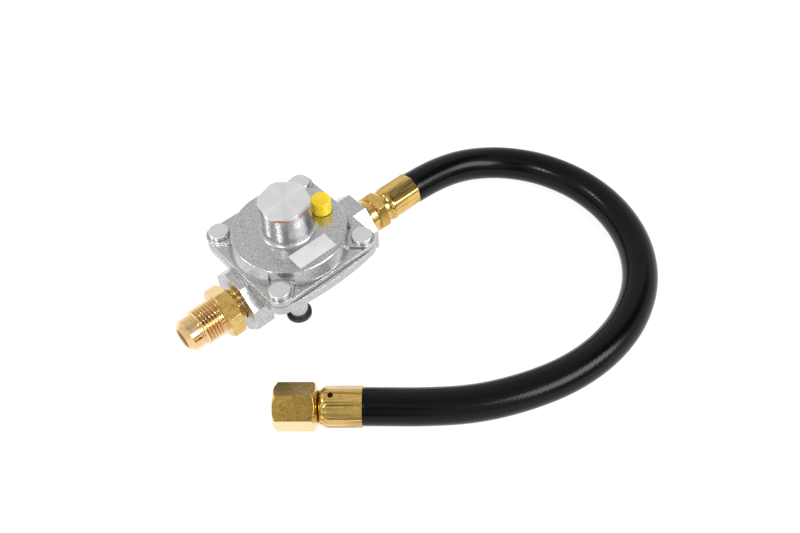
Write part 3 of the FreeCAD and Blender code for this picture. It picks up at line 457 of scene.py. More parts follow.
def brass(name, colour, pale, rough, mottle, axis=(1.0, 0.0, 0.0), streaks=0.0, turn=0.0):
    """Machined brass with turning marks across its axis, a painted sheen that is paler where
    the surface turns away from the view, a painted highlight on its edges and painted shade in
    its corners.

    streaks are die marks along the axis, which is turned from +X by degrees.
    """
    material, tree, shader = new_tree(name)
    soft = use(tree, ROUNDED_EDGE, Radius=0.18 * MM)
    worn = use(tree, BRASS_MOTTLE)
    rings = use(tree, TOOL_MARKS, Axis=axis)
    # painted sheen: the colour turns pale where the surface turns away from the view
    painted_flank_sheen = add(tree, "ShaderNodeLayerWeight", {"Blend": 0.5}).outputs["Facing"]
    spread = sum_of(tree, "ADD", scaled(tree, worn["Cloud"], 0.45),
                    scaled(tree, worn["Grain"], 0.55))
    dark = tuple(c * (1.0 - share * mottle) for c, share in zip(colour, TARNISH))
    # pale colour of the painted sheen and the painted edge highlight, and of the scratches
    light = shade_of(pale, 1.0)
    tint = ramp(tree, spread, [
        (0.40, dark + (1.0,)), (0.51, shade_of(colour, 1.0)),
        (0.62, shade_of(colour, 1.0 + 0.14 * mottle)),
    ])
    tint = blend(tree, stretch(tree, painted_flank_sheen, 0.38, 0.62), tint, light)
    tint = laid_over(tree, tint, light, worn["Scratches"], 0.15 * mottle)
    # painted highlight: the edges take the pale colour
    tint = laid_over(tree, tint, light, soft["Painted Edge Highlight"], 0.6)
    # painted shade: corners where surfaces meet take a dark brown
    corner = use(tree, PAINTED_CORNER_SHADE, Reach=0.7 * MM)
    tint = laid_over(tree, tint, BRASS_PAINTED_SHADE, corner["Mask"], 0.75)
    height = sum_of(tree, "ADD", scaled(tree, rings["Marks"], 0.25),
                    scaled(tree, worn["Grain"], 0.6 * mottle))
    if streaks:
        drawn = add(tree, "ShaderNodeMapping", {
            "Vector": own_place(tree), "Rotation": (0.0, 0.0, math.radians(-turn)),
        }).outputs["Vector"]
        drawn = vector(tree, "MULTIPLY", drawn, (40.0, 900.0, 900.0))
        lines = noise(tree, drawn, 1.0, 2.0, 0.6)
        height = sum_of(tree, "ADD", height, scaled(tree, lines, streaks))
        tint = blend(tree, stretch(tree, lines, 0.46, 0.64, 0.0, 0.85), tint,
                     shade_of(colour, 0.34))
    feed(tree, shader, {
        "Base Color": tint, "Metallic": 1.0,
        "Roughness": stretch(tree, worn["Grain"], 0.3, 0.7, rough * 0.75, rough * 1.35),
        "Normal": bump(tree, height, 0.35, 0.02, soft["Normal"]),
    })
    return material


def plain(name, colour, rough, metallic=0.0, depth=0.03, strength=0.2):
    """Rubber, vinyl, plate or steel with a fine uneven surface."""
    material, tree, shader = new_tree(name)
    soft = use(tree, ROUNDED_EDGE, Radius=0.15 * MM)
    place = own_place(tree)
    fine = noise(tree, place, 1500.0)
    broad = noise(tree, place, 125.0)
    tint = ramp(tree, fine, [(0.3, shade_of(colour, 0.88)), (0.7, shade_of(colour, 1.10))])
    feed(tree, shader, {
        "Base Color": tint, "Metallic": metallic,
        "Roughness": stretch(tree, broad, 0.3, 0.7, rough * 0.88, rough * 1.12),
        "Normal": bump(tree, fine, strength, depth, soft["Normal"]),
    })
    return material


def hose_rubber():
    """Black rubber with the faint print of the cloth that it was wrapped in."""
    material, tree, shader = new_tree("hose rubber")
    across = add(tree, "ShaderNodeUVMap", uv_map=HOSE_PRINT).outputs["UV"]
    turned = add(tree, "ShaderNodeMapping", {
        "Vector": across, "Rotation": (0.0, 0.0, 0.5),
    }).outputs["Vector"]
    yarns = []
    for direction in "XY":
        yarns.append(add(tree, "ShaderNodeTexWave", {
            "Vector": turned, "Scale": 0.24, "Distortion": 1.6, "Detail": 2.0,
            "Detail Scale": 2.0,
        }, bands_direction=direction).outputs["Fac"])
    cloth = sum_of(tree, "MULTIPLY", *yarns)
    place = own_place(tree)
    cloud = noise(tree, place, 90.0, 4.0)
    grain = noise(tree, place, 2600.0, 3.0)
    height = sum_of(tree, "ADD", scaled(tree, cloth, 0.7), scaled(tree, grain, 0.6))
    black = ramp(tree, cloud, [
        (0.3, (0.0003, 0.0005, 0.0009, 1)), (0.7, (0.0006, 0.0009, 0.0016, 1)),
    ])
    feed(tree, shader, {
        "Base Color": black, "Roughness": stretch(tree, cloud, 0.3, 0.7, 0.11, 0.17),
        "Specular IOR Level": 0.19, "Normal": bump(tree, height, 0.34, 0.10),
    })
    return material


POLISHED = (0.82, 0.58, 0.30)
SATIN = (0.74, 0.50, 0.15)
MILLED = (0.68, 0.46, 0.14)
FAR_MILLED = (0.52, 0.34, 0.085)
# TAN, SAND, PALE and PEACH: pale colours that a brass finish gives its painted sheen, its
# painted edge highlight and its scratches
TAN = (0.80, 0.52, 0.22)
SAND = (0.80, 0.58, 0.27)
PALE = (0.94, 0.70, 0.39)
PEACH = (0.90, 0.66, 0.38)
TARNISH = (0.26, 0.32, 0.42)          # share of red, green and blue that tarnish takes
# colour of the painted shade in the corners of brass
BRASS_PAINTED_SHADE = (0.16, 0.085, 0.02, 1)

FINISHES = {
    "cast_aluminium": cast_aluminium(),
    "turned_aluminium": turned_aluminium(),
    "screw_steel": plain("screw steel", (0.72, 0.72, 0.71), 0.34, metallic=0.9),
    "brass_polished": brass("polished brass", POLISHED, PEACH, 0.12, 0.5),
    "milled_brass": brass("milled brass", MILLED, SAND, 0.20, 1.2),
    "bored_brass": brass("bored brass", POLISHED, PEACH, 0.5, 0.6),
    "brass_satin": brass("satin brass", SATIN, TAN, 0.16, 0.8),
    "pressed_brass": brass("pressed brass", SATIN, TAN, 0.15, 0.7, streaks=2.0),
    "far_milled_brass": brass("milled brass of the far end", FAR_MILLED, PALE, 0.20, 1.0,
                              axis=FAR_AXIS),
    "far_brass": brass("satin brass of the far end", SATIN, TAN, 0.16, 0.8, axis=FAR_AXIS),
    "far_pressed_brass": brass("pressed brass of the far end", SATIN, TAN, 0.15, 0.7,
                               axis=FAR_AXIS, streaks=2.0, turn=NUT_TURN),
    "hose_rubber": hose_rubber(),
    "pad_rubber": plain("pad rubber", (0.02, 0.02, 0.02), 0.5),
    "diaphragm_rubber": plain("diaphragm rubber", (0.26, 0.22, 0.19), 0.6),
    "yellow_vinyl": plain("yellow vinyl", (0.88, 0.62, 0.008), 0.24),
    "gasket_fibre": plain("gasket fibre", (0.36, 0.09, 0.05), 0.8, depth=0.06, strength=0.5),
    "pin_plastic": plain("pin plastic", (0.7, 0.7, 0.66), 0.4),
    "spring_steel": plain("spring steel", (0.55, 0.55, 0.56), 0.3, metallic=1.0),
    "plate_foil": plain("plate foil", (0.66, 0.66, 0.65), 0.30, metallic=0.1),
}

NODE_FINISH = {
    "lower_body": "cast_aluminium",
    "upper_cover": "cast_aluminium",
    "valve_stem": "spring_steel",
    "upper_diaphragm_plate": "spring_steel",
    "lower_diaphragm_plate": "spring_steel",
    "stem_nut": "brass_satin",
    "disc_holder": "brass_satin",
    "foot_pad": "pad_rubber",
    "valve_disc": "pad_rubber",
    "reversible_pin": "pin_plastic",
    "rating_plate": "plate_foil",
}


def dress_nodes():
    """Gives every CAD node that stays its finish."""
    for name, finish in NODE_FINISH.items():
        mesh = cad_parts[name].data
        mesh.materials.clear()
        mesh.materials.append(FINISHES[finish])


# Shapes

def spun(outline, ring=False, soft=0.0, sides=ROUND_SIDES, axis=ALONG):
    """Shape turned about an axis from (along the axis, radius) points.

    A ring's outline closes on itself; another starts and ends on the axis. soft rounds
    the outline's corners. Few sides make a prism.
    """
    bm = bmesh.new()
    verts = []
    for s, r in outline:
        place = Vector((s, 0, r)) if axis is ALONG else Vector((r, 0, s))
        verts.append(bm.verts.new(place * MM))
    pairs = list(zip(verts, verts[1:]))
    if ring:
        pairs.append((verts[-1], verts[0]))
    for pair in pairs:
        bm.edges.new(pair)
    if soft:
        corners = verts if ring else verts[1:-1]
        bmesh.ops.bevel(bm, geom=corners, offset=soft * MM, offset_type="OFFSET", segments=3,
                        profile=0.5, affect="VERTICES", material=-1, clamp_overlap=True)
    bmesh.ops.spin(bm, geom=bm.verts[:] + bm.edges[:], cent=(0, 0, 0), axis=axis,
                   angle=2 * math.pi, steps=sides, use_merge=True)
    return closed(bm)


def rod(start, end, radius, axis=ALONG, sides=ROUND_SIDES):
    """Plain cylinder along an axis; few sides make a prism."""
    return spun([(start, 0), (start, radius), (end, radius), (end, 0)], sides=sides, axis=axis)


def wound(bm, axis, pitch, steps, turns=1):
    """Outline spun about an axis while it climbs by a pitch each turn."""
    bmesh.ops.spin(bm, geom=bm.verts[:] + bm.edges[:], cent=(0, 0, 0), axis=axis,
                   dvec=axis * pitch * MM / steps, angle=2 * math.pi * turns,
                   steps=steps * turns, use_merge=False)
    bmesh.ops.remove_doubles(bm, verts=bm.verts, dist=MERGE)


def closed(bm):
    """Merges a shape's doubles and turns its faces outwards."""
    bmesh.ops.remove_doubles(bm, verts=bm.verts, dist=MERGE)
    bmesh.ops.dissolve_degenerate(bm, edges=bm.edges, dist=SPECK)
    bmesh.ops.recalc_face_normals(bm, faces=bm.faces)
    return bm


def capped(bm):
    """Fills a wound shape's open ends."""
    bmesh.ops.holes_fill(bm, edges=[e for e in bm.edges if e.is_boundary], sides=0)
    return closed(bm)


def thread(start, end, crest, root, pitch):
    """Closed screw thread along +X, run out at both ends.

    One outline climbs by a pitch as it is spun, so each turn meets the next.
    """
    bm = bmesh.new()
    verts = []
    for i in range(int((end - start) / pitch) + 3):
        s = start + (i - 1.2) * pitch
        for along, radius in ((0.0, root), (0.13, root), (0.5, crest), (0.63, crest)):
            verts.append(bm.verts.new(Vector((s + along * pitch, 0, radius)) * MM))
    for pair in zip(verts, verts[1:]):
        bm.edges.new(pair)
    bmesh.ops.bevel(bm, geom=verts[1:-1], offset=THREAD_ROUNDING * MM, offset_type="OFFSET",
                    segments=2, profile=0.5, affect="VERTICES", material=-1, clamp_overlap=True)
    wound(bm, ALONG, pitch, SMALL_SIDES)
    for v in bm.verts:
        inside = max(0.0, min(v.co.x - start * MM, end * MM - v.co.x))
        radius = math.hypot(v.co.y, v.co.z)
        share = min(1.0, (root * MM + inside) / radius)
        v.co = (min(max(v.co.x, start * MM), end * MM), v.co.y * share, v.co.z * share)
    bmesh.ops.remove_doubles(bm, verts=bm.verts, dist=MERGE)
    return capped(bm)


def corner_reach(flats):
    """Radius over the corners of a hexagon."""
    return flats / 2 / math.cos(math.pi / 6)


def hexagon_bar(flats, start, end, turn, axis=ALONG):
    """Hexagon bar along an axis; turn moves its first corner round by degrees."""
    bm = rod(start, end, corner_reach(flats), axis, sides=6)
    return moved(bm, Matrix.Rotation(math.radians(turn), 4, axis))


def moved(bm, matrix):
    """The shape, moved."""
    bmesh.ops.transform(bm, matrix=matrix, verts=bm.verts)
    return bm


def mesh_of(name, bm):
    """Mesh from a shape, which is freed."""
    mesh = bpy.data.meshes.new(name)
    bm.to_mesh(mesh)
    bm.free()
    return mesh


def linked(name, data):
    """New object in the scene."""
    made = bpy.data.objects.new(name, data)
    bpy.context.scene.collection.objects.link(made)
    return made


def combined(operation, base, *tools):
    """Closed shapes cut, or kept where they meet, exactly."""
    pieces = [linked("tool", mesh_of("tool", bm)) for bm in (base,) + tools]
    for tool in pieces[1:]:
        step = pieces[0].modifiers.new("combined", "BOOLEAN")
        step.operation = operation
        step.solver = "EXACT"
        step.object = tool
    graph = bpy.context.evaluated_depsgraph_get()
    mesh = bpy.data.meshes.new_from_object(pieces[0].evaluated_get(graph))
    result = bmesh.new()
    result.from_mesh(mesh)
    for piece in pieces:
        bpy.data.objects.remove(piece)
    return closed(result)


def hollowed(bm, start, end, radius, axis=ALONG):
    """The shape with a cylinder cut out of it."""
    return combined("DIFFERENCE", bm, rod(start, end, radius, axis))


def softened(bm, width=EDGE):
    """Bevels every sharp edge."""
    bmesh.ops.dissolve_limit(bm, angle_limit=math.radians(FLAT_ANGLE), verts=bm.verts,
                             edges=bm.edges)
    sharp = []
    for edge in bm.edges:
        if len(edge.link_faces) == 2 and edge.calc_face_angle() > math.radians(SHARP_ANGLE):
            sharp.append(edge)
    bmesh.ops.bevel(bm, geom=sharp, offset=width * MM, offset_type="OFFSET", segments=2,
                    profile=0.5, affect="EDGES", material=-1, clamp_overlap=False)
    return bm


def finished(bm, index):
    """Gives a whole shape one of its piece's finishes."""
    for face in bm.faces:
        face.material_index = index
    return bm


def bored(bm, radius, index):
    """Gives the wall of a bore along +X one of its piece's finishes."""
    for face in bm.faces:
        if all(math.hypot(v.co.y, v.co.z) < radius * MM for v in face.verts):
            face.material_index = index
    return bm


def joined(*shapes):
    """Several closed shapes as one mesh."""
    whole = bmesh.new()
    for bm in shapes:
        whole.from_mesh(mesh_of("part", bm))
    return whole


def put(name, bm, finish, body, *nodes, slot=None, others=()):
    """Finished piece: smooth where it is round, on its body, in place of its CAD nodes."""
    for face in bm.faces:
        face.smooth = True
    mesh = mesh_of(name, bm)
    mesh.set_sharp_from_angle(angle=math.radians(SMOOTH_ANGLE))
    piece = linked(name, mesh)
    weighted = piece.modifiers.new("flat faces stay flat", "WEIGHTED_NORMAL")
    weighted.keep_sharp = True
    for each in (finish,) + tuple(others):
        mesh.materials.append(FINISHES[each])
    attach(piece, body)
    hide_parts(*nodes)
    return piece


def line_place(along, turn=0.0):
    """Place on the gas line; turned by 180 degrees, +X points out of the inlet."""
    return (Matrix.Translation(Vector((along, 0, AXIS_Z)) * MM)
            @ Matrix.Rotation(math.radians(turn), 4, "Z"))


def far_place(along=0.0):
    """Place on the far fitting's axis, measured from the nut's open face."""
    start = Vector(NUT_FACE) + Vector(FAR_AXIS) * along
    return Matrix.Translation(start * MM) @ Matrix.Rotation(math.radians(NUT_TURN), 4, "Z")


def milled_hexagon(flats, start, end, turn, chamfer=0.8):
    """Sleeve with a hexagon outside, its ends turned to a chamfer and its edges softened."""
    reach = corner_reach(flats)
    drop = chamfer / math.tan(math.radians(CHAMFER_SLOPE))
    barrel = spun([
        (start, 0), (start, reach - drop), (start + chamfer, reach + CLEAR),
        (end - chamfer, reach + CLEAR), (end, reach - drop), (end, 0),
    ])
    bar = hexagon_bar(flats, start - 1, end + 1, turn)
    return hollowed(softened(combined("INTERSECT", bar, barrel)), 0, 14, SLEEVE_BORE)


def thread_sleeve(start, end, measures):
    """Sleeve with a thread outside."""
    return hollowed(thread(start, end, *measures), start - 3, end + 3, SLEEVE_BORE)


# Brass fittings

def make_inlet_fitting():
    """Male flare fitting: tapered start, hexagon, flare thread, relief and nose."""
    body = spun([
        (-12.0, 5.0), (-12.0, 8.3), (0.5, 8.3), (0.5, 8.2), (3.2, 8.2), (3.2, 8.6), (11.8, 8.6),
        (11.8, 8.4), (23.0, 8.4), (23.2, 7.9), (24.1, 7.9), (24.3, 8.3), (28.7, 8.3),
        (31.2, 5.9), (31.2, 5.35), (30.9, 5.0),
    ], ring=True, soft=0.12)
    bore_finish, milled_finish = 1, 2
    collar = finished(thread_sleeve(-1.0, 3.3, INLET_PORT_THREAD), milled_finish)
    hexagon = finished(milled_hexagon(INLET_FLATS, 3.4, 10.8, 0.0), milled_finish)
    flare = thread_sleeve(11.9, 23.1, FLARE_THREAD)
    fitting = joined(bored(body, 5.3, bore_finish), collar, hexagon, flare)
    put("inlet_flare_fitting", moved(fitting, line_place(INLET_FACE, 180)), "brass_polished",
        "regulator", "inlet_fitting", others=("bored_brass", "milled_brass"))


def barbs(start):
    """Outline of a hose stem's barbs."""
    outline = []
    for i in range(BARBS):
        outline += [(start + BARB_LENGTH * i, BARB_CREST),
                    (start + BARB_LENGTH * (i + 1), BARB_ROOT)]
    return outline


def make_outlet_stem():
    """Hose stem: tapered start, smooth collar, hexagon and neck, and the barbs in the hose."""
    outline = [
        (-12.0, 3.4), (-12.0, 8.3), (0.5, 8.3), (0.5, 8.25), (3.9, 8.25), (4.1, 8.75),
        (7.9, 8.75), (7.9, 7.9), (13.0, 7.9), (13.0, 7.6), (16.5, 7.6), (16.5, 4.7),
        (19.3, 4.7),
    ]
    body = spun(outline + barbs(19.3) + [(33.7, 3.4)], ring=True, soft=0.1)
    collar = thread_sleeve(-1.0, 4.0, OUTLET_PORT_THREAD)
    hexagon = milled_hexagon(STEM_FLATS, 7.8, 13.0, STEM_FLATS_TURN, chamfer=0.6)
    put("outlet_hose_stem", moved(joined(body, collar, hexagon), line_place(OUTLET_FACE)),
        "brass_satin", "regulator", "outlet_stem")


def pressed_radius(s, radius, around):
    """Radius that the dies leave at a place on a sleeve, around its axis in degrees."""
    half = PANEL_ANGLE / 2
    off = abs((around + half) % PANEL_ANGLE - half)
    rise = max(0.0, PANEL_START - s)
    flat = (PANEL_DEPTH + 0.25 * rise * rise) / math.cos(math.radians(off))
    squeezed = min(1.0, max(0.0, (s - RIDGE_START) / RIDGE_RUN))
    ridge = RIDGE_RADIUS + RIDGE_BURR * math.exp(-((half - off) / 2.0) ** 2)
    pressed = min(radius if squeezed == 0 else ridge, flat)
    return radius + (pressed - radius) * (squeezed if pressed > radius else 1.0)


def crimped_sleeve(panel_turn, witness_turn=None):
    """Ferrule along +X: a turned sleeve that eight dies have pressed flat in panels."""
    outline = [(0.0, 5.0), (0.0, 6.1)]
    for i in range(SHOULDER_STEPS + 1):
        turn = math.pi / 2 * i / SHOULDER_STEPS
        outline.append((SHOULDER_LENGTH * (1 - math.cos(turn)),
                        SHOULDER_RADIUS + (FERRULE_RADIUS - SHOULDER_RADIUS) * math.sin(turn)))
    for i in range(1, PANEL_STEPS + 1):
        outline.append((SHOULDER_LENGTH + PANEL_LENGTH * i / PANEL_STEPS, FERRULE_RADIUS))
    outline += [(FERRULE_LENGTH, 9.1), (FERRULE_LENGTH, 8.3), (19.3, 8.15), (2.6, 8.15),
                (2.6, 5.0)]
    bm = spun(outline, ring=True, sides=FERRULE_SIDES)
    for v in bm.verts:
        radius = math.hypot(v.co.y, v.co.z) / MM
        if radius < FERRULE_INSIDE:
            continue
        around = math.degrees(math.atan2(v.co.z, v.co.y)) - panel_turn
        share = pressed_radius(v.co.x / MM, radius, around) / radius
        v.co.y *= share
        v.co.z *= share
    if witness_turn is not None:
        drill = rod(5.5, 12.0, WITNESS_RADIUS, UP, sides=40)
        drill = moved(drill, Matrix.Rotation(math.radians(witness_turn - 90), 4, "X"))
        drill = moved(drill, Matrix.Translation(ALONG * WITNESS_PLACE * MM))
        bm = combined("DIFFERENCE", bm, drill)
    return bm


def make_near_ferrule():
    """Ferrule beside the regulator."""
    sleeve = moved(crimped_sleeve(31.0), line_place(FERRULE_X))
    put("near_crimp_sleeve", sleeve, "pressed_brass", "regulator", "near_ferrule",
        slot="brass_satin")


def make_far_fitting():
    """Ferrule, stem and swivel nut at the hose's loose end."""
    sleeve = moved(crimped_sleeve(2.0, witness_turn=86.0), far_place(FAR_FERRULE_PLACE))
    sleeve = put("far_crimp_sleeve", sleeve, "far_pressed_brass", "regulator", "far_ferrule",
                 slot="brass_satin")
    outline = [
        (8.1, 6.3), (8.1, 7.15), (10.7, 7.15), (12.25, 5.6), (21.5, 5.6), (21.5, 4.7),
        (24.0, 4.7),
    ]
    stem = spun(outline + barbs(24.0) + [(38.4, 3.4), (11.0, 3.4)], ring=True, soft=0.1)
    stem = put("far_hose_stem", moved(stem, far_place()), "far_brass", "regulator", "far_stem",
               slot="brass_satin")
    reach = corner_reach(NUT_FLATS)
    barrel = spun([
        (1.4, 0), (1.4, 9.35), (2.75, reach + CLEAR), (18.6, reach + CLEAR), (19.5, 10.3),
        (20.8, 8.0), (21.1, 7.3), (21.1, 0),
    ], soft=0.4)
    shell = combined("INTERSECT", hexagon_bar(NUT_FLATS, -1, 24, NUT_FLATS_TURN), barrel)
    hollow = spun([
        (7.9, 0), (7.9, 7.6), (10.7, 7.6), (12.6, 5.7), (23, 5.7), (23, 0),
    ])
    mouth = spun([(0.4, 0), (0.4, 9.0), (1.4, 8.35), (2.15, 7.6), (2.15, 0)])
    shell = softened(combined("DIFFERENCE", shell, hollow, mouth), width=0.16)
    shell = combined("DIFFERENCE", shell, thread(-1.2, 9.0, *NUT_THREAD))
    nut = put("flare_swivel_nut", moved(shell, far_place()), "far_milled_brass", "nut",
              "swivel_nut", slot="brass_satin")
    return [sleeve, stem, nut]


# Regulator's small parts

def make_closure_cap():
    """Hexagon cap with its hollow threaded plug."""
    barrel = spun([(59.6, 0), (59.6, 12.35), (61.8, 12.35), (61.9, 12.25), (61.9, 0)], axis=UP)
    bar = hexagon_bar(CAP_FLATS, 59.0, 63.0, CAP_FLATS_TURN, UP)
    head = softened(combined("INTERSECT", bar, barrel), width=0.08)
    plug = hollowed(thread(52.45, 59.8, *PLUG_THREAD), 50, 61, 8.35)
    plug = moved(plug, Matrix.Rotation(math.radians(-90), 4, "Y"))
    put("closure_cap", joined(head, plug), "turned_aluminium", "closure_cap", "top_cap")


def make_gasket():
    """Fibre ring under the closure cap."""
    ring = spun([(58.72, 9.92), (58.72, 11.75), (59.58, 11.75), (59.58, 9.92)], ring=True,
                soft=0.2, axis=UP)
    put("fibre_ring", ring, "gasket_fibre", "cap_carrier", "cap_gasket")


def make_screws():
    """Four plain pan-head screws."""
    screws = []
    for x in (-SCREW_REACH, SCREW_REACH):
        for y in (-SCREW_REACH, SCREW_REACH):
            screw = spun([
                (29.1, 0), (29.1, 2.1), (37.02, 2.1), (37.02, 5.0), (38.95, 5.0), (39.28, 4.8),
                (39.4, 4.4), (39.4, 0),
            ], soft=0.12, sides=SMALL_SIDES, axis=UP)
            screws.append(moved(screw, Matrix.Translation(Vector((x, y, 0)) * MM)))
    put("pan_head_screws", joined(*screws), "screw_steel", "regulator", "cover_screws")


def make_vent_cap():
    """Soft vinyl cap over the vent boss."""
    cap = spun([
        (48.5, 0), (48.5, 4.25), (43.2, 4.25), (43.2, 5.0), (49.95, 4.86), (50.33, 4.7),
        (50.5, 4.35), (50.5, 0),
    ], soft=0.12, sides=SMALL_SIDES, axis=UP)
    cap = moved(cap, Matrix.Translation(Vector(VENT_PLACE) * MM))
    put("vinyl_dust_cap", cap, "yellow_vinyl", "dust_cap", "vent_cap")


# Inner pieces: the spring, and the diaphragm, whose centre follows the valve

def make_spring():
    """Coil from the spring's bottom to its top."""
    wire, mean, turns, steps = 0.65, 6.9, 5, 64
    rise = (SPRING_TOP - SPRING_BOTTOM - 2 * wire) / turns
    bm = bmesh.new()
    bmesh.ops.create_circle(bm, cap_ends=False, segments=20, radius=wire * MM)
    place = Matrix.Translation(Vector((mean, 0, SPRING_BOTTOM + wire)) * MM)
    moved(bm, place @ Matrix.Rotation(math.radians(90), 4, "X"))
    wound(bm, UP, rise, steps, turns)
    spring = put("loading_spring", capped(bm), "spring_steel", "regulator", "main_spring")
    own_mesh(spring)


def make_diaphragm():
    """Rubber sheet: its clamped rim and roll stay, its centre rises between the plates."""
    sheet = bmesh.new()
    sheet.from_mesh(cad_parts["diaphragm"].data)
    put("diaphragm_rim_and_roll", hollowed(sheet, 32.0, 36.0, 15.92, UP), "diaphragm_rubber",
        "regulator", "diaphragm")
    centre = spun([(33.3, 1.7), (33.3, 15.52), (32.5, 15.52), (32.5, 15.9), (34.1, 15.9),
                   (34.1, 1.7)], ring=True, axis=UP)
    put("diaphragm_centre", centre, "diaphragm_rubber", "valve_train", "diaphragm")


# Hose

def hose_line():
    """Points of the smooth line that the hose follows."""
    curve = bpy.data.curves.new("hose_line", "CURVE")
    curve.dimensions = "3D"
    curve.resolution_u = 20
    spline = curve.splines.new("NURBS")
    spline.points.add(len(ROUTE) - 1)
    for point, place in zip(spline.points, ROUTE):
        point.co = (*(Vector(place) * MM), 1.0)
    spline.order_u = 3
    spline.use_endpoint_u = True
    line = bpy.data.objects.new("hose_line", curve)
    mesh = bpy.data.meshes.new_from_object(line)
    points = [v.co.copy() for v in mesh.vertices]
    bpy.data.objects.remove(line)
    return points


def make_hose(fittings):
    """Rubber hose, squeezed thinner inside both ferrules; fittings is not used."""
    line = hose_line()
    last = len(line) - 1
    reach = [0.0]
    for a, b in zip(line, line[1:]):
        reach.append(reach[-1] + (b - a).length)
    total = reach[-1]
    bm = bmesh.new()
    prints = bm.loops.layers.uv.new(HOSE_PRINT)
    bmesh.ops.create_grid(bm, x_segments=last, y_segments=HOSE_SIDES, size=1.0, calc_uvs=True)
    for face in bm.faces:
        for corner in face.loops:
            along, around = corner[prints].uv
            corner[prints].uv = (reach[round(along * last)] / MM,
                                 around * 2 * math.pi * HOSE_RADIUS)
    rows = {}
    for v in bm.verts:
        rows.setdefault(round((v.co.x + 1) / 2 * last), []).append(v)
    side = UP
    for i, at in enumerate(line):
        ahead = (line[min(i + 1, last)] - line[max(i - 1, 0)]).normalized()
        side = (side - ahead * side.dot(ahead)).normalized()
        across = ahead.cross(side)
        end = min(reach[i], total - reach[i])
        share = min(1.0, max(0.0, (end / MM - HOSE_GRIP) / CRIMP_RUN + 1))
        radius = HOSE_CRIMPED_RADIUS + (HOSE_RADIUS - HOSE_CRIMPED_RADIUS) * share
        for v in rows[i]:
            turn = (v.co.y + 1) * math.pi
            v.co = at + (side * math.cos(turn) + across * math.sin(turn)) * radius * MM
    bmesh.ops.remove_doubles(bm, verts=bm.verts, dist=2 * MERGE)
    bmesh.ops.recalc_face_normals(bm, faces=bm.faces)
    bmesh.ops.solidify(bm, geom=bm.faces[:], thickness=(HOSE_RADIUS - HOSE_BORE) * MM)
    bmesh.ops.recalc_face_normals(bm, faces=bm.faces)
    hose = put("hose_tube", bm, "hose_rubber", "regulator", "hose")


# Stage

def make_floor():
    """White floor that shows as the white ground and keeps a faint shadow."""
    bm = bmesh.new()
    bmesh.ops.create_grid(bm, x_segments=1, y_segments=1, size=4.0)
    floor = linked("floor", mesh_of("floor", bm))
    material = bpy.data.materials.new("white floor")
    tree = empty_tree(material)
    path = add(tree, "ShaderNodeLightPath").outputs
    seen = sum_of(tree, "ADD", path["Is Camera Ray"], path["Is Glossy Ray"])
    seen = sum_of(tree, "ADD", seen, path["Is Transmission Ray"], clamp=True)
    lit = add(tree, "ShaderNodeBsdfDiffuse", {"Color": grey(0.80)})
    faint = add(tree, "ShaderNodeBsdfDiffuse", {"Color": grey(0.24)})
    glow = add(tree, "ShaderNodeEmission", {"Color": grey(1.0), "Strength": 0.86})
    both = add(tree, "ShaderNodeAddShader", {
        0: faint.outputs["BSDF"], 1: glow.outputs["Emission"],
    })
    mixed = add(tree, "ShaderNodeMixShader", {
        0: seen, 1: lit.outputs["BSDF"], 2: both.outputs["Shader"],
    })
    add(tree, "ShaderNodeOutputMaterial", {"Surface": mixed.outputs["Shader"]})
    floor.data.materials.append(material)


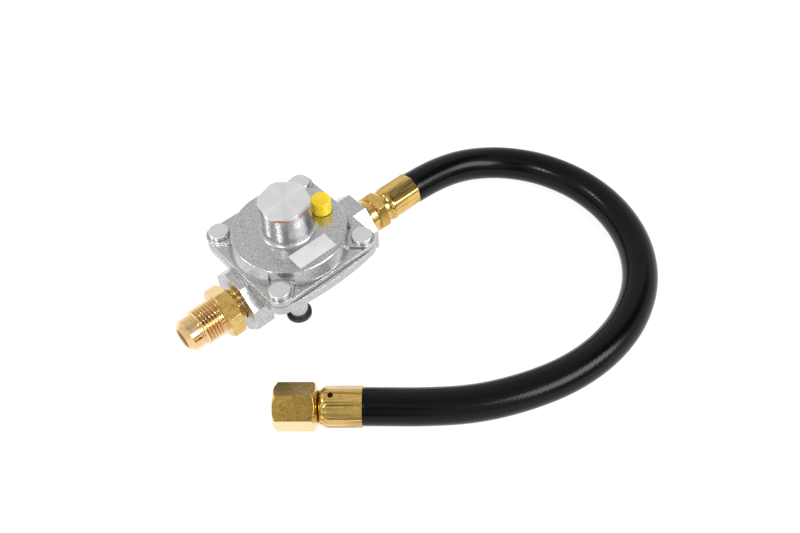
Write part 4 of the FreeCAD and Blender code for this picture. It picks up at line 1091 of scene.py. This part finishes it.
def make_world():
    """Light tent: bright at the horizon, darker overhead, white where the camera sees it.

    The metal shows its dim patches: a direction, a half width in degrees and a colour each.
    """
    world = bpy.data.worlds.new("tent")
    bpy.context.scene.world = world
    tree = empty_tree(world)
    path = add(tree, "ShaderNodeLightPath").outputs
    direction = add(tree, "ShaderNodeTexCoord").outputs["Generated"]
    height = add(tree, "ShaderNodeSeparateXYZ", {0: direction}).outputs["Z"]
    tent = ramp(tree, height, [
        (0.0, grey(0.95)), (0.5, grey(0.90)), (0.8, grey(0.80)), (0.93, grey(0.74)),
        (1.0, grey(0.50)),
    ])
    for centre, spread, level in (
            ((-0.50, -0.50, 0.70), 17, grey(0.38)),
            ((0.65, -0.24, 0.72), 22, (0.16, 0.17, 0.19, 1)),
            ((-0.77, -0.61, 0.16), 20, grey(0.34)),
            ((0.20, -0.97, 0.06), 16, grey(0.45)),
    ):
        near = vector(tree, "DOT_PRODUCT", direction, Vector(centre).normalized(), "Value")
        near = stretch(tree, near, math.cos(math.radians(spread)),
                       math.cos(math.radians(spread * 0.6)))
        tent = blend(tree, near, tent, level)
    seen = blend(tree, path["Is Camera Ray"], tent, grey(1.1))
    ground = add(tree, "ShaderNodeBackground", {"Color": seen, "Strength": 0.97})
    add(tree, "ShaderNodeOutputWorld", {"Surface": ground.outputs["Background"]})


def softbox(name, place, width, height, level):
    """Rectangular soft light that faces the object, as bright as its level."""
    data = bpy.data.lights.new(name, "AREA")
    data.shape = "RECTANGLE"
    data.size = width
    data.size_y = height
    data.energy = level * math.pi * width * height
    lamp = linked(name, data)
    lamp.location = Vector(LIGHTS_AIM) + Vector(place)
    lamp.rotation_euler = (-Vector(place)).to_track_quat("-Z", "Y").to_euler()


def make_lights():
    """Wide key softbox in front, and small bright ones on the left and at the back."""
    softbox("key", (0.22, -0.78, 0.565), width=0.74, height=0.38, level=8.0)
    softbox("left", (-0.70, -0.10, 0.70), width=0.12, height=0.12, level=40.0)
    softbox("back", (-0.515, 0.513, 0.69), width=0.10, height=0.10, level=36.0)


def make_camera():
    """Camera at the photograph's place and angle."""
    data = bpy.data.cameras.new("camera")
    data.lens = CAMERA_LENS
    data.clip_start = 0.01
    camera = linked("camera", data)
    camera.matrix_world = (
        Matrix.Translation(CAMERA_PLACE)
        @ Matrix.Rotation(math.radians(CAMERA_AZIMUTH), 4, "Z")
        @ Matrix.Rotation(math.radians(90 - CAMERA_PITCH), 4, "X")
        @ Matrix.Rotation(math.radians(CAMERA_ROLL), 4, "Z")
    )
    bpy.context.scene.camera = camera


make_camera()
dress_nodes()
make_hose(make_far_fitting())
make_near_ferrule()
make_outlet_stem()
make_inlet_fitting()
make_closure_cap()
make_gasket()
make_screws()
make_vent_cap()
make_spring()
make_diaphragm()
make_floor()
make_world()
make_lights()
bpy.context.scene.view_settings.view_transform = "Standard"
